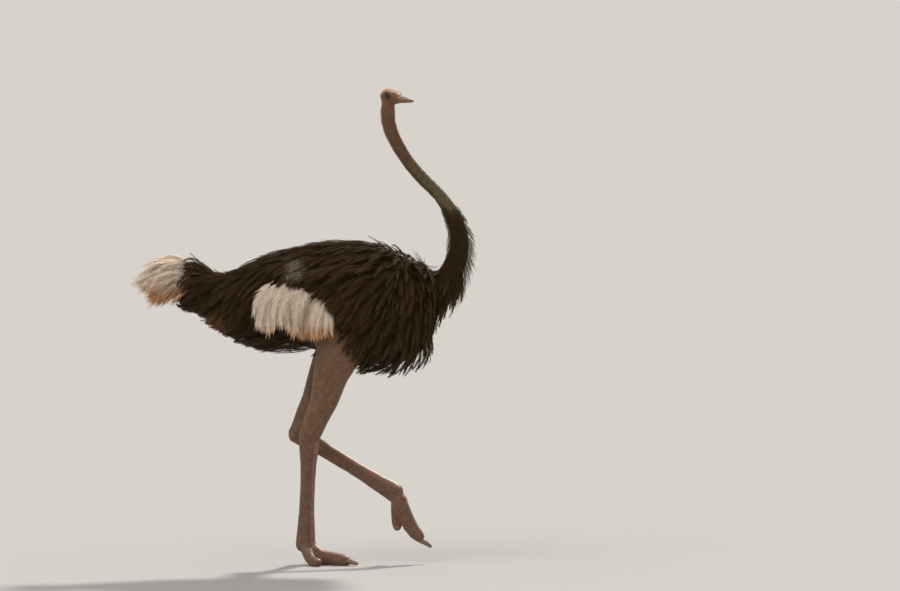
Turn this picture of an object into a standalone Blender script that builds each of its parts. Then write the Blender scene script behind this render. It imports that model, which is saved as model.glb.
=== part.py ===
"""A male ostrich at life size, caught in mid stride, as one still model.

The bird faces +X, its left side is +Y and the floor is z = 0. It stands flat on its right foot and
swings its left one forward, clear of the floor. Every piece is a loft of oval sections along a smooth line, parted from its
neighbours by thin cuts. Sections are written as (x, y, z, half height, half width) in metres unless a
table says otherwise, where height lies in the upright plane of the line and width across it.
"""

import math

import bmesh
import bpy
import numpy as np
from mathutils import Matrix, Vector

GAP = 0.0004  # clearance between pieces that touch
ROUND_STEPS = 3  # rings in a rounded end

# Trunk with its plumage
BACK_HEIGHT = 1.441
TRUNK_DEPTH = 0.559
TRUNK_WIDTH = 0.500
TRUNK_REAR = -0.425
TRUNK_FRONT = 0.607
BREAST_ROUNDING = 0.077
# (share of length, top below the back's summit, share of depth, share of width)
TRUNK_SECTIONS = (
    (0.000, 0.143, 0.37, 0.48),
    (0.100, 0.132, 0.52, 0.66),
    (0.200, 0.095, 0.67, 0.82),
    (0.328, 0.046, 0.80, 0.94),
    (0.456, 0.018, 0.90, 1.00),
    (0.584, 0.000, 0.99, 1.00),
    (0.703, 0.022, 1.00, 0.96),
    (0.806, 0.051, 0.95, 0.86),
    (0.874, 0.084, 0.85, 0.74),
    (0.925, 0.121, 0.72, 0.60),
    (1.000, 0.165, 0.60, 0.50),
)

# Folded wing: a lens on the flank whose hind edge leans forward as it runs down
WING_LEAN = Vector((-0.53, 0.0, 0.85))
WING_ROUNDING = (0.03, 0.05)  # lengths of its rounded ends, hind and fore
WING_SECTIONS = (
    (0.060, 0.222, 1.195, 0.155, 0.030),
    (0.180, 0.226, 1.195, 0.160, 0.050),
    (0.310, 0.216, 1.205, 0.150, 0.052),
    (0.425, 0.186, 1.215, 0.125, 0.050),
    (0.520, 0.128, 1.225, 0.085, 0.038),
)

# A plume lobe's girth at shares of its length, and the lengths of its rounded ends
LOBE_GIRTHS = ((0.0, 0.60), (0.3, 0.95), (0.65, 1.0), (1.0, 0.62))
LOBE_ROUNDING = (0.03, 0.04)

# White plumes of the wing: root, tip, rise of the middle, half height and half width of each lobe
WING_PLUMES = (
    ((0.050, 0.215, 1.215), (-0.150, 0.225, 1.040), 0.070, 0.050, 0.034),
    ((0.050, 0.225, 1.195), (-0.200, 0.212, 1.085), 0.070, 0.048, 0.034),
    ((0.075, 0.230, 1.180), (-0.100, 0.235, 1.050), 0.050, 0.050, 0.036),
    ((0.100, 0.235, 1.145), (-0.045, 0.243, 1.025), 0.040, 0.048, 0.036),
    ((0.130, 0.235, 1.110), (0.020, 0.240, 1.005), 0.030, 0.046, 0.034),
    ((0.155, 0.232, 1.080), (0.090, 0.228, 0.998), 0.020, 0.040, 0.030),
)

# Tail: black coverts round its root, then the white plumes
TAIL_COVERTS = (
    (-0.418, 0.0, 1.194, 0.100, 0.116),
    (-0.455, 0.0, 1.225, 0.112, 0.118),
    (-0.490, 0.0, 1.243, 0.114, 0.112),
    (-0.545, 0.0, 1.238, 0.088, 0.088),
)
TAIL_ROOT = Vector((-0.500, 0.0, 1.255))
TAIL_CORE = Vector((-0.200, 0.0, -0.010))  # from the root to the end of the bunch's solid middle
TAIL_CORE_GIRTH = (0.100, 0.098)
TAIL_SPREAD = math.radians(56)
TAIL_LOBE = 0.050  # half height and half width
TAIL_RISE = 0.012  # of a lobe's middle over its ends
TAIL_ROOT_SPREAD = 0.06  # sideways, of the outermost roots
TAIL_ROUNDNESS = 0.8  # how much shorter the outer plumes are
COVERT_ROUNDING = 0.045
# Layers of plumes round the core: rise of the root, rise of the tip, reach and count
TAIL_LAYERS = ((0.040, 0.040, 0.205, 3), (0.000, -0.002, 0.247, 4), (-0.050, -0.068, 0.195, 3))

# Neck from the breast to the skull
NECK_SECTIONS = (
    (0.535, 0.0, 1.118, 0.078, 0.105),
    (0.601, 0.0, 1.192, 0.077, 0.088),
    (0.657, 0.0, 1.293, 0.070, 0.067),
    (0.688, 0.0, 1.390, 0.057, 0.056),
    (0.686, 0.0, 1.456, 0.054, 0.053),
    (0.668, 0.0, 1.518, 0.042, 0.042),
    (0.640, 0.0, 1.571, 0.033, 0.034),
    (0.604, 0.0, 1.624, 0.0280, 0.0275),
    (0.526, 0.0, 1.703, 0.0280, 0.0270),
    (0.458, 0.0, 1.782, 0.0270, 0.0260),
    (0.411, 0.0, 1.861, 0.0270, 0.0260),
    (0.376, 0.0, 1.945, 0.0268, 0.0258),
    (0.372, 0.0, 2.015, 0.0275, 0.0265),
    (0.374, 0.0, 2.056, 0.0285, 0.0280),
)
NECK_CUTS = (0.40, 0.67)  # shares of its length where the plumage ends and at half the bare stretch

# Head: x forward from the nape, z from the line of the gape
HEAD_PLACE = Vector((0.372, 0.0, 2.062))
HEAD_PIVOT = 0.030
HEAD_TURN = math.radians(-35)
HEAD_DIP = math.radians(7)
HEAD_ROUNDING = (0.022, 0.013)  # nape and tip of the bill
BILL_START = 0.098
# (x, top, bottom, half width)
HEAD_SECTIONS = (
    (0.000, 0.0270, -0.0200, 0.0270),
    (0.022, 0.0345, -0.0270, 0.0335),
    (0.045, 0.0370, -0.0290, 0.0360),
    (0.062, 0.0345, -0.0270, 0.0345),
    (0.080, 0.0265, -0.0220, 0.0295),
    (0.098, 0.0195, -0.0175, 0.0260),
    (0.118, 0.0150, -0.0140, 0.0232),
    (0.142, 0.0110, -0.0100, 0.0188),
    (0.168, 0.0070, -0.0050, 0.0135),
)
EYE_CENTRE = Vector((0.054, 0.0210, 0.0100))
EYE_RADII = Vector((0.0235, 0.0190, 0.0225))

# Legs
TARSUS_ROUNDING = (0.028, 0.034)
# (distance below the ankle, half height, half width)
TARSUS_SECTIONS = (
    (-0.046, 0.030, 0.028),
    (-0.012, 0.049, 0.040),
    (0.030, 0.047, 0.040),
    (0.090, 0.037, 0.033),
    (0.180, 0.033, 0.028),
    (0.300, 0.032, 0.026),
    (0.400, 0.036, 0.029),
    (0.460, 0.041, 0.034),
    (0.500, 0.043, 0.038),
    (0.535, 0.040, 0.036),
)
STANCE_LEG = (
    (0.170, -0.105, 1.110, 0.095, 0.055),
    (0.185, -0.135, 1.030, 0.116, 0.076),
    (0.163, -0.135, 0.950, 0.108, 0.074),
    (0.139, -0.125, 0.898, 0.088, 0.066),
    (0.114, -0.110, 0.818, 0.074, 0.056),
    (0.094, -0.090, 0.730, 0.060, 0.046),
    (0.053, -0.063, 0.642, 0.051, 0.039),
    (0.024, -0.040, 0.560, 0.044, 0.036),
)
STANCE_ANKLE = Vector((0.026, -0.040, 0.574))
STANCE_KNUCKLE = Vector((0.006, 0.063, 0.079))
SWING_LEG = (
    (0.165, 0.105, 1.110, 0.095, 0.055),
    (0.178, 0.135, 1.030, 0.114, 0.076),
    (0.150, 0.136, 0.950, 0.103, 0.074),
    (0.124, 0.132, 0.898, 0.085, 0.066),
    (0.084, 0.124, 0.818, 0.071, 0.056),
    (0.050, 0.114, 0.730, 0.057, 0.046),
    (0.006, 0.107, 0.642, 0.049, 0.039),
    (-0.026, 0.104, 0.565, 0.044, 0.036),
)
SWING_ANKLE = Vector((-0.024, 0.104, 0.574))
SWING_KNUCKLE = Vector((0.412, 0.092, 0.306))
THIGH_SHARE = 0.36  # of the line from hip to ankle
THIGH_ROUNDING, SHANK_ROUNDING = 0.05, 0.03

# Toes: lengths of the phalanges, and half height and half width at each joint and at the tip
INNER_PHALANGES = (0.095, 0.062, 0.045, 0.036)
INNER_GIRTH = ((0.039, 0.034), (0.035, 0.031), (0.031, 0.029), (0.028, 0.0275), (0.022, 0.022))
OUTER_PHALANGES = (0.072, 0.050, 0.042)
OUTER_GIRTH = ((0.030, 0.025), (0.0245, 0.022), (0.022, 0.020), (0.0185, 0.017))
INNER_ROOT, OUTER_ROOT = 0.008, 0.026  # of the toes, inward and outward from the middle of the knuckle
TOE_WAIST = 0.95  # girth between two joints over the mean of theirs
TOE_ROUNDING = (0.026, 0.018)
CLAW_LENGTH = 0.052
CLAW_OVERLAP, CLAW_RISE = 0.012, 0.004  # of its root behind and above the toe's tip
CLAW_CURL = 1.3
CLAW_ROUNDING = 0.006
CLAW_GIRTH = ((0.0130, 0.0145), (0.0115, 0.0125), (0.0060, 0.0070))
# Each toe's turn from straight ahead and each phalanx's slope below level, in degrees
STANCE_INNER = (-27, (31, 4, 4, 9), 12)
STANCE_OUTER = (-62, (45, 12, 2), 0)
SWING_INNER = (6, (71, 62, 52, 46), 32)
SWING_OUTER = (24, (94, 90, 80), 0)


def superellipse(turn, squareness):
    """A point of a rounded outline one unit across each way, at this turn."""
    c, s = math.cos(turn), math.sin(turn)
    power = 2.0 / squareness
    return math.copysign(abs(c) ** power, c), math.copysign(abs(s) ** power, s)


def smooth_rows(stations, distances):
    """Rows of the smooth curve through the stations at shares of its length, with the tangents."""
    rows = np.array(stations, float)
    steps = np.linalg.norm(np.diff(rows[:, :3], axis=0), axis=1)
    along = np.concatenate([[0.0], np.cumsum(steps)])
    slopes = np.gradient(rows, along, axis=0)
    found = []
    for share in distances:
        s = min(max(share, 0.0), 1.0) * along[-1]
        i = int(min(np.searchsorted(along, s, side="right") - 1, len(rows) - 2))
        span = along[i + 1] - along[i]
        u = (s - along[i]) / span
        value = (
            (2 * u**3 - 3 * u**2 + 1) * rows[i]
            + (u**3 - 2 * u**2 + u) * span * slopes[i]
            + (3 * u**2 - 2 * u**3) * rows[i + 1]
            + (u**3 - u**2) * span * slopes[i + 1]
        )
        tangent = slopes[i] * (1 - u) + slopes[i + 1] * u
        found.append((value, Vector(tangent[:3]).normalized()))
    return found, along[-1]


def ring_places(start, end, rings, round_start, round_end):
    """(share of the line, share of the full section) of each ring, closer together in a rounded end."""
    turns = [math.pi / 2 * k / ROUND_STEPS for k in range(1, ROUND_STEPS)]
    first = [(start + round_start * (1 - math.cos(t)), math.sin(t)) for t in turns]
    last = [(end - round_end * (1 - math.cos(t)), math.sin(t)) for t in reversed(turns)]
    low, high = start + round_start, end - round_end
    middle = [(low + (high - low) * k / rings, 1.0) for k in range(rings + 1)]
    return (first if round_start else []) + middle + (last if round_end else [])


def loft(stations, sides, rings, ends=(0.0, 0.0), part=(0.0, 1.0), lean=None, squareness=2.0):
    """A closed mesh of oval rings along the smooth line through the stations.

    ends are the lengths of its rounded ends, zero for a flat one. part takes only that stretch.
    """
    _, length = smooth_rows(stations, (0.0,))
    places = ring_places(part[0], part[1], rings, ends[0] / length, ends[1] / length)
    rows, _ = smooth_rows(stations, [p[0] for p in places])
    shape = bmesh.new()
    loops = []
    for (row, tangent), (_, grown) in zip(rows, places):
        across = Vector((0, 1, 0)) - tangent * tangent.y
        across.normalize()
        upright = lean.normalized() if lean else tangent.cross(across).normalized()
        ring = []
        for k in range(sides):
            high, wide = superellipse(math.tau * k / sides, squareness)
            offset = upright * high * row[3] * grown + across * wide * row[4] * grown
            ring.append(shape.verts.new(Vector(row[:3]) + offset))
        loops.append(ring)
    for one, two in zip(loops, loops[1:]):
        for k in range(sides):
            shape.faces.new((one[k - 1], one[k], two[k], two[k - 1]))
    for ring, share, rounded in zip((loops[0], loops[-1]), part, ends):
        if rounded:
            pole = shape.verts.new(Vector(smooth_rows(stations, (share,))[0][0][0][:3]))
            for k in range(sides):
                shape.faces.new((ring[k - 1], ring[k], pole))
        else:
            shape.faces.new(ring)
    bmesh.ops.triangulate(shape, faces=shape.faces)
    bmesh.ops.recalc_face_normals(shape, faces=shape.faces)
    return shape


def material(name, colour, roughness):
    """A plain finish in this colour."""
    finish = bpy.data.materials.new(name)
    finish.use_nodes = True
    surface = finish.node_tree.nodes["Principled BSDF"]
    surface.inputs["Base Color"].default_value = (*colour, 1.0)
    surface.inputs["Roughness"].default_value = roughness
    surface.inputs["Metallic"].default_value = 0.0
    finish.diffuse_color = (*colour, 1.0)
    return finish


def piece(name, shape, colour=None, roughness=0.6):
    """The named object of this mesh: a part with its own material, or a cutter without a colour."""
    mesh = bpy.data.meshes.new(name)
    shape.to_mesh(mesh)
    shape.free()
    mesh.shade_smooth()
    mesh.set_sharp_from_angle(angle=math.radians(40))
    obj = bpy.data.objects.new(name, mesh)
    obj.parent = bird
    if colour is None:
        obj.hide_render = True
        obj.display_type = "WIRE"
        cutters.objects.link(obj)
    else:
        mesh.materials.append(material(name, colour, roughness))
        parts.objects.link(obj)
    return obj


def grown_shape(obj, grow):
    """The object's own mesh, before any cut, pushed out by grow along its normals."""
    shape = bmesh.new()
    shape.from_mesh(obj.data)
    shape.normal_update()
    for vertex, move in [(vertex, vertex.normal * grow) for vertex in shape.verts]:
        vertex.co += move
    return shape


def boolean(obj, operation, other=None, group=None):
    """A live Boolean of the object with another object or with a collection."""
    step = obj.modifiers.new(f"{operation.lower()}_{len(obj.modifiers)}", "BOOLEAN")
    step.operation = operation
    step.solver = "EXACT"
    if group:
        step.operand_type = "COLLECTION"
        step.collection = group
    else:
        step.object = other


def part_from(obj, *neighbours):
    """Cuts the object back from each neighbour, with the clearance between them."""
    for neighbour in neighbours:
        cutter = piece(f"cut_{obj.name}_{neighbour.name}", grown_shape(neighbour, GAP))
        boolean(obj, "DIFFERENCE", cutter)


def slice_flat(shape, point, normal):
    """Keeps the side of a plane that the normal points away from, and closes the cut."""
    everything = shape.verts[:] + shape.edges[:] + shape.faces[:]
    plane = {"plane_co": point, "plane_no": normal, "clear_outer": True}
    cut = bmesh.ops.bisect_plane(shape, geom=everything, **plane)
    rim = [edge for edge in cut["geom_cut"] if isinstance(edge, bmesh.types.BMEdge)]
    bmesh.ops.contextual_create(shape, geom=rim)
    bmesh.ops.recalc_face_normals(shape, faces=shape.faces)
    return shape


def lobe(root, tip, rise, half_height, half_width, side=1):
    """One arched plume lobe, narrow at its root, full in the middle and rounded at its tip."""
    start, end = Vector(root), Vector(tip)
    stations = []
    for share, girth in LOBE_GIRTHS:
        centre = start.lerp(end, share)
        centre.z += rise * 4 * share * (1 - share)
        centre.y *= side
        stations.append((*centre, half_height * girth, half_width * girth))
    return loft(stations, 7, 2, LOBE_ROUNDING)


def bunch(name, lobes, colour):
    """Lobes grown together into one body."""
    others = bpy.data.collections.new(f"{name}_lobes")
    cutters.children.link(others)
    whole = piece(name, lobes[0], colour, 0.8)
    for count, shape in enumerate(lobes[1:]):
        extra = piece(f"{name}_lobe_{count}", shape)
        cutters.objects.unlink(extra)
        others.objects.link(extra)
    boolean(whole, "UNION", group=others)
    return whole


def trunk_stations():
    """The trunk's sections from its table of shares."""
    length = TRUNK_FRONT - TRUNK_REAR
    rows = []
    for share, drop, deep, wide in TRUNK_SECTIONS:
        half = TRUNK_DEPTH * deep / 2
        centre = BACK_HEIGHT - drop - half
        rows.append((TRUNK_REAR + length * share, 0.0, centre, half, TRUNK_WIDTH / 2 * wide))
    return rows


def tail_lobes():
    """Plumes fanned out in layers round a solid core."""
    lobes = [lobe(TAIL_ROOT, TAIL_ROOT + TAIL_CORE, TAIL_RISE, *TAIL_CORE_GIRTH)]
    for root_rise, tip_rise, reach, count in TAIL_LAYERS:
        for k in range(count):
            turn = TAIL_SPREAD * (k / (count - 1) - 0.5)
            length = reach * math.cos(turn * TAIL_ROUNDNESS)
            root = TAIL_ROOT + Vector((0, TAIL_ROOT_SPREAD * math.sin(turn), root_rise))
            tip = TAIL_ROOT + Vector((-length * math.cos(turn), length * math.sin(turn), tip_rise))
            lobes.append(lobe(root, tip, TAIL_RISE, TAIL_LOBE, TAIL_LOBE))
    return lobes


def head_to_world():
    """The matrix that sets the head on the neck, dipped and turned to the bird's right."""
    turn = Matrix.Rotation(HEAD_TURN, 4, "Z") @ Matrix.Rotation(HEAD_DIP, 4, "Y")
    return Matrix.Translation(HEAD_PLACE) @ turn @ Matrix.Translation((-HEAD_PIVOT, 0, 0))


def head_shape():
    """Skull and closed bill in one, in the head's own frame."""
    rows = [(x, 0.0, (top + low) / 2, (top - low) / 2, wide) for x, top, low, wide in HEAD_SECTIONS]
    return loft(rows, 14, 8, HEAD_ROUNDING, squareness=2.2)


def eye_shape(side):
    """An eyeball, flatter from front to back than it is wide."""
    shape = bmesh.new()
    bmesh.ops.create_uvsphere(shape, u_segments=11, v_segments=6, radius=1.0)
    place = Matrix.Translation((EYE_CENTRE.x, EYE_CENTRE.y * side, EYE_CENTRE.z))
    turned = Matrix.Rotation(math.radians(90), 4, "X")
    sized = Matrix.Diagonal((EYE_RADII.x, EYE_RADII.z, EYE_RADII.y, 1.0))
    bmesh.ops.transform(shape, matrix=place @ turned @ sized, verts=shape.verts)
    return shape


def tarsus_shape(ankle, knuckle):
    """The long bare shank below the ankle, with the heel's ridge above and the knuckle below."""
    down = (knuckle - ankle).normalized()
    rows = [(*(ankle + down * far), high, wide) for far, high, wide in TARSUS_SECTIONS]
    return loft(rows, 12, 7, TARSUS_ROUNDING)


def toe_line(knuckle, turn, slopes, phalanges):
    """The joints of a toe, from the knuckle to its tip."""
    joints = [knuckle.copy()]
    for length, slope in zip(phalanges, slopes):
        level, drop = math.cos(math.radians(slope)), math.sin(math.radians(slope))
        heading = Vector((math.cos(turn) * level, math.sin(turn) * level, -drop))
        joints.append(joints[-1] + heading * length)
    return joints


def toe_shape(knuckle, pose, phalanges, girth):
    """A toe with a swelling at each joint."""
    turn, slopes, _ = pose
    joints = toe_line(knuckle, math.radians(turn), slopes, phalanges)
    rows = [(*joints[0], *girth[0])]
    for start, end, near, far in zip(joints, joints[1:], girth, girth[1:]):
        waist = [(a + b) / 2 * TOE_WAIST for a, b in zip(near, far)]
        rows.append((*start.lerp(end, 0.5), *waist))
        rows.append((*end, *far))
    return loft(rows, 8, 2 * len(phalanges), TOE_ROUNDING, squareness=2.8)


def claw_shape(knuckle, pose):
    """The broad blunt nail of the inner toe."""
    turn, slopes, claw_slope = pose
    tip = toe_line(knuckle, math.radians(turn), slopes, INNER_PHALANGES)[-1]
    run = Vector((math.cos(math.radians(turn)), math.sin(math.radians(turn)), 0))
    root = tip - run * CLAW_OVERLAP + Vector((0, 0, CLAW_RISE))
    rows = []
    for share, (high, wide) in zip((0.0, 0.55, 1.0), CLAW_GIRTH):
        sink = math.tan(math.radians(claw_slope)) * CLAW_LENGTH * share**CLAW_CURL
        rows.append((*(root + run * CLAW_LENGTH * share - Vector((0, 0, sink))), high, wide))
    return loft(rows, 7, 2, (0.0, CLAW_ROUNDING))


def floor_block():
    """Everything below the floor."""
    shape = bmesh.new()
    place = Matrix.Translation((0.2, 0, -0.1)) @ Matrix.Diagonal((2, 1, 0.2, 1))
    bmesh.ops.create_cube(shape, size=1.0, matrix=place)
    return shape


for old in list(bpy.data.objects):
    bpy.data.objects.remove(old, do_unlink=True)
parts = bpy.data.collections.new("ostrich")
cutters = bpy.data.collections.new("cutters")
bpy.context.scene.collection.children.link(parts)
bpy.context.scene.collection.children.link(cutters)
bird = bpy.data.objects.new("stance", None)
parts.objects.link(bird)

BLACK = (0.018, 0.015, 0.013)
WHITE = (0.82, 0.76, 0.70)
SKIN = (0.30, 0.24, 0.21)
NECK_SKIN = (0.20, 0.20, 0.19)
SHIN = (0.36, 0.28, 0.25)
HORN = (0.42, 0.35, 0.26)

# Legs and feet
floor = piece("below_floor", floor_block())
limbs = {}
for side, leg, ankle, knuckle, inner, outer in (
    ("right", STANCE_LEG, STANCE_ANKLE, STANCE_KNUCKLE, STANCE_INNER, STANCE_OUTER),
    ("left", SWING_LEG, SWING_ANKLE, SWING_KNUCKLE, SWING_INNER, SWING_OUTER),
):
    outward = Vector((0, -1 if side == "right" else 1, 0))
    inner_root = knuckle - outward * INNER_ROOT
    outer_root = knuckle + outward * OUTER_ROOT
    tarsus = piece(f"tarsus_{side}", tarsus_shape(ankle, knuckle), SHIN)
    thigh_run, shank_run = (0.0, THIGH_SHARE), (THIGH_SHARE + GAP, 1.0)
    thigh = piece(f"thigh_{side}", loft(leg, 14, 4, (THIGH_ROUNDING, 0.0), thigh_run), SKIN)
    shank = piece(f"shank_{side}", loft(leg, 14, 5, (0.0, SHANK_ROUNDING), shank_run), SKIN)
    part_from(shank, tarsus)
    limbs[side] = (thigh, shank)
    claw = piece(f"claw_{side}", claw_shape(inner_root, inner), HORN, 0.4)
    boolean(claw, "DIFFERENCE", floor)
    inner_shape = toe_shape(inner_root, inner, INNER_PHALANGES, INNER_GIRTH)
    toe_inner = piece(f"toe_inner_{side}", inner_shape, SHIN)
    boolean(toe_inner, "DIFFERENCE", floor)
    part_from(toe_inner, tarsus, claw)
    outer_shape = toe_shape(outer_root, outer, OUTER_PHALANGES, OUTER_GIRTH)
    toe_outer = piece(f"toe_outer_{side}", outer_shape, SHIN)
    boolean(toe_outer, "DIFFERENCE", floor)
    part_from(toe_outer, tarsus, toe_inner)

# Trunk, wings and tail
trunk_shape = loft(trunk_stations(), 22, 12, (0.0, BREAST_ROUNDING), squareness=2.15)
trunk = piece("trunk", trunk_shape, BLACK, 0.75)
part_from(trunk, *limbs["right"], *limbs["left"])
for side, sign in (("right", -1), ("left", 1)):
    rows = [(x, y * sign, z, high, wide) for x, y, z, high, wide in WING_SECTIONS]
    wing = piece(f"wing_{side}", loft(rows, 13, 4, WING_ROUNDING, lean=WING_LEAN), BLACK, 0.75)
    part_from(wing, trunk, *limbs[side])
    lobes = [lobe(*row, side=sign) for row in WING_PLUMES]
    plumes = bunch(f"wing_plumes_{side}", lobes, WHITE)
    part_from(plumes, wing, trunk, *limbs[side])
coverts = piece("tail_coverts", loft(TAIL_COVERTS, 16, 3, (0.0, COVERT_ROUNDING)), BLACK, 0.75)
part_from(coverts, trunk)
tail = bunch("tail_plumes", tail_lobes(), WHITE)
part_from(tail, coverts)

# Head
head_frame = head_to_world()
eyes = []
for side, sign in (("right", -1), ("left", 1)):
    eye = eye_shape(sign)
    eye.transform(head_frame)
    eyes.append(piece(f"eye_{side}", eye, (0.05, 0.025, 0.012), 0.08))
front = Vector((BILL_START, 0, 0))
ahead, above = Vector((1, 0, 0)), Vector((0, 0, 1))
skull_shape = slice_flat(head_shape(), front - ahead * GAP / 2, ahead)
upper = slice_flat(slice_flat(head_shape(), front + ahead * GAP / 2, -ahead), above * GAP / 2, -above)
lower = slice_flat(slice_flat(head_shape(), front + ahead * GAP / 2, -ahead), -above * GAP / 2, above)
for shape in (skull_shape, upper, lower):
    shape.transform(head_frame)
head = piece("head", skull_shape, NECK_SKIN)
part_from(head, *eyes)
piece("bill_upper", upper, HORN, 0.35)
piece("bill_lower", lower, HORN, 0.35)

# Neck
cuts = (0.0, *NECK_CUTS, 1.0)
names = ("neck_lower", "neck_middle", "neck_upper")
colours = (BLACK, NECK_SKIN, NECK_SKIN)
sides_and_rings = ((14, 9), (12, 6), (12, 7))
for name, start, end, colour, (sides, rings) in zip(names, cuts, cuts[1:], colours, sides_and_rings):
    stretch = (start + (GAP if start else 0.0), end)
    neck = piece(name, loft(NECK_SECTIONS, sides, rings, part=stretch), colour)
    if name == "neck_lower":
        part_from(neck, trunk)
    if name == "neck_upper":
        part_from(neck, head)

# The origin lies on the floor under the middle of the whole bird
bpy.context.view_layer.update()
graph = bpy.context.evaluated_depsgraph_get()
corners = [
    vertex.co
    for obj in parts.objects
    if obj.type == "MESH"
    for vertex in obj.evaluated_get(graph).data.vertices
]
for axis in (0, 1):
    reach = [corner[axis] for corner in corners]
    bird.location[axis] = -(min(reach) + max(reach)) / 2
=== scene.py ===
"""A male ostrich in mid stride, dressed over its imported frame."""

import math

import bmesh
import bpy
import numpy as np
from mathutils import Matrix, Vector
from mathutils.bvhtree import BVHTree
from mathutils.noise import fractal


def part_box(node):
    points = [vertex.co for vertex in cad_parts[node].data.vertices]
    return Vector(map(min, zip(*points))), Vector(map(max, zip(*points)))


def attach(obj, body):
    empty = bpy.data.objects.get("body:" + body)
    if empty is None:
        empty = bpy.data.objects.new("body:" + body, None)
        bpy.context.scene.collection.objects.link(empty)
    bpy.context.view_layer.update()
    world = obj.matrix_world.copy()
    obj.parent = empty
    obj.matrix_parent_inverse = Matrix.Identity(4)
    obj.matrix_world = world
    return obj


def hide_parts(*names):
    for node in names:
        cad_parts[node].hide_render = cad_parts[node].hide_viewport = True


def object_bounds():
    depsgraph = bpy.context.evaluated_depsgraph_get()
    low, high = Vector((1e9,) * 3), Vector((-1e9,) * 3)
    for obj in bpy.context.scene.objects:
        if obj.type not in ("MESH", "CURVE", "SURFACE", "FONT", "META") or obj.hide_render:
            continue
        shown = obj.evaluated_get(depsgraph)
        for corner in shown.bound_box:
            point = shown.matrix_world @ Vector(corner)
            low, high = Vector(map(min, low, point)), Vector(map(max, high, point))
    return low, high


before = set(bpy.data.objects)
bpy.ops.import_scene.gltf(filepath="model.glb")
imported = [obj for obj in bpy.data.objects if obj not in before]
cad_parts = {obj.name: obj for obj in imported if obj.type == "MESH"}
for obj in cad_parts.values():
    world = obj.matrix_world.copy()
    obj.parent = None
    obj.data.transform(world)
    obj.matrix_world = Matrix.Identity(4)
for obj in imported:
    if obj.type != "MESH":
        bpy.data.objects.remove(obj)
cad_low, cad_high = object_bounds()

# ---------------------------------------------------------------------------------------------
# Camera: a long lens, level with the bird's back and thirty metres to its right. The bird stands
# left of the middle of the picture and walks into it.
CAMERA_DISTANCE = 30.0
CAMERA_RISE = math.radians(2.5)
PICTURE_WIDTH = 3.96
AIM = Vector((0.643, 0.0, 1.190))
FILM_WIDTH = 36.0


def put_in_scene(name, data):
    """A new object of this data, set in the scene."""
    made = bpy.data.objects.new(name, data)
    bpy.context.scene.collection.objects.link(made)
    return made


camera_data = bpy.data.cameras.new("camera")
camera = put_in_scene("camera", camera_data)
camera_data.sensor_width = FILM_WIDTH
camera_data.lens = FILM_WIDTH * CAMERA_DISTANCE / PICTURE_WIDTH
camera_data.clip_end = 30000.0
backward = Vector((0.0, -math.cos(CAMERA_RISE), math.sin(CAMERA_RISE)))
camera.location = AIM + backward * CAMERA_DISTANCE
camera.rotation_euler = (-backward).to_track_quat("-Z", "Y").to_euler()
bpy.context.scene.camera = camera
bpy.context.scene.view_settings.view_transform = "Standard"

# ---------------------------------------------------------------------------------------------
# Studio: a plain pale floor that runs out of sight into an even surround, a broad soft lamp high
# in front and a firmer one behind the bird that rims its neck, back and shins.


class Shade:
    """A node socket that does arithmetic: an expression on it adds the nodes that work it out."""

    tree = None

    def __init__(self, socket):
        self.socket = socket

    @classmethod
    def node(cls, kind, settings=None, **inputs):
        """A node of this kind, with its settings made first and then its sockets by name."""
        made = cls.tree.nodes.new(kind)
        for name, value in (settings or {}).items():
            setattr(made, name, value)
        for name, value in inputs.items():
            index = int(name[1:]) if name[0] == "_" else name.replace("_", " ")
            cls.feed(made.inputs[index], value)
        return made

    @classmethod
    def feed(cls, socket, value):
        """Links a shade to the socket, or sets its value."""
        if isinstance(value, Shade):
            cls.tree.links.new(value.socket, socket)
        elif isinstance(value, tuple) and len(value) == 3 and socket.type == "RGBA":
            socket.default_value = (*value, 1.0)
        else:
            socket.default_value = value

    @classmethod
    def maths(cls, operation, *values):
        """One Math node."""
        inputs = {f"_{i}": value for i, value in enumerate(values)}
        return cls(cls.node("ShaderNodeMath", {"operation": operation}, **inputs).outputs[0])

    def __add__(self, other):
        return Shade.maths("ADD", self, other)

    def __sub__(self, other):
        return Shade.maths("SUBTRACT", self, other)

    def __rsub__(self, other):
        return Shade.maths("SUBTRACT", other, self)

    def __mul__(self, other):
        return Shade.maths("MULTIPLY", self, other)

    __radd__, __rmul__ = __add__, __mul__

    def clamp(self):
        """The value kept between 0 and 1."""
        return Shade.maths("MAXIMUM", Shade.maths("MINIMUM", self, 1.0), 0.0)

    def ramp(self, low, high):
        """0 at low and 1 at high, with soft ends. Low may be above high."""
        soft = {"interpolation_type": "SMOOTHSTEP"}
        made = Shade.node("ShaderNodeMapRange", soft, _0=self, _1=low, _2=high, _3=0.0, _4=1.0)
        return Shade(made.outputs[0])

    def colour(self, low, high):
        """Mixes two colours, low where the value is 0 and high where it is 1."""
        made = Shade.node("ShaderNodeMix", {"data_type": "RGBA"}, _0=self, _6=low, _7=high)
        return Shade(made.outputs[2])


def finish_of(name, roughness=0.6, **constants):
    """A new Principled material, made the one that shades are added to. Constants go on its sockets."""
    made = bpy.data.materials.new(name)
    made.use_nodes = True
    Shade.tree = made.node_tree
    surface = made.node_tree.nodes["Principled BSDF"]
    surface.inputs["Roughness"].default_value = roughness
    for socket, value in constants.items():
        surface.inputs[socket.replace("_", " ")].default_value = value
    return made, surface


def place_on_object():
    """Object coordinates: the vector, and its x, y and z."""
    vector = Shade(Shade.node("ShaderNodeTexCoord").outputs["Object"])
    split = Shade.node("ShaderNodeSeparateXYZ", _0=vector)
    return vector, [Shade(out) for out in split.outputs]


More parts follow.
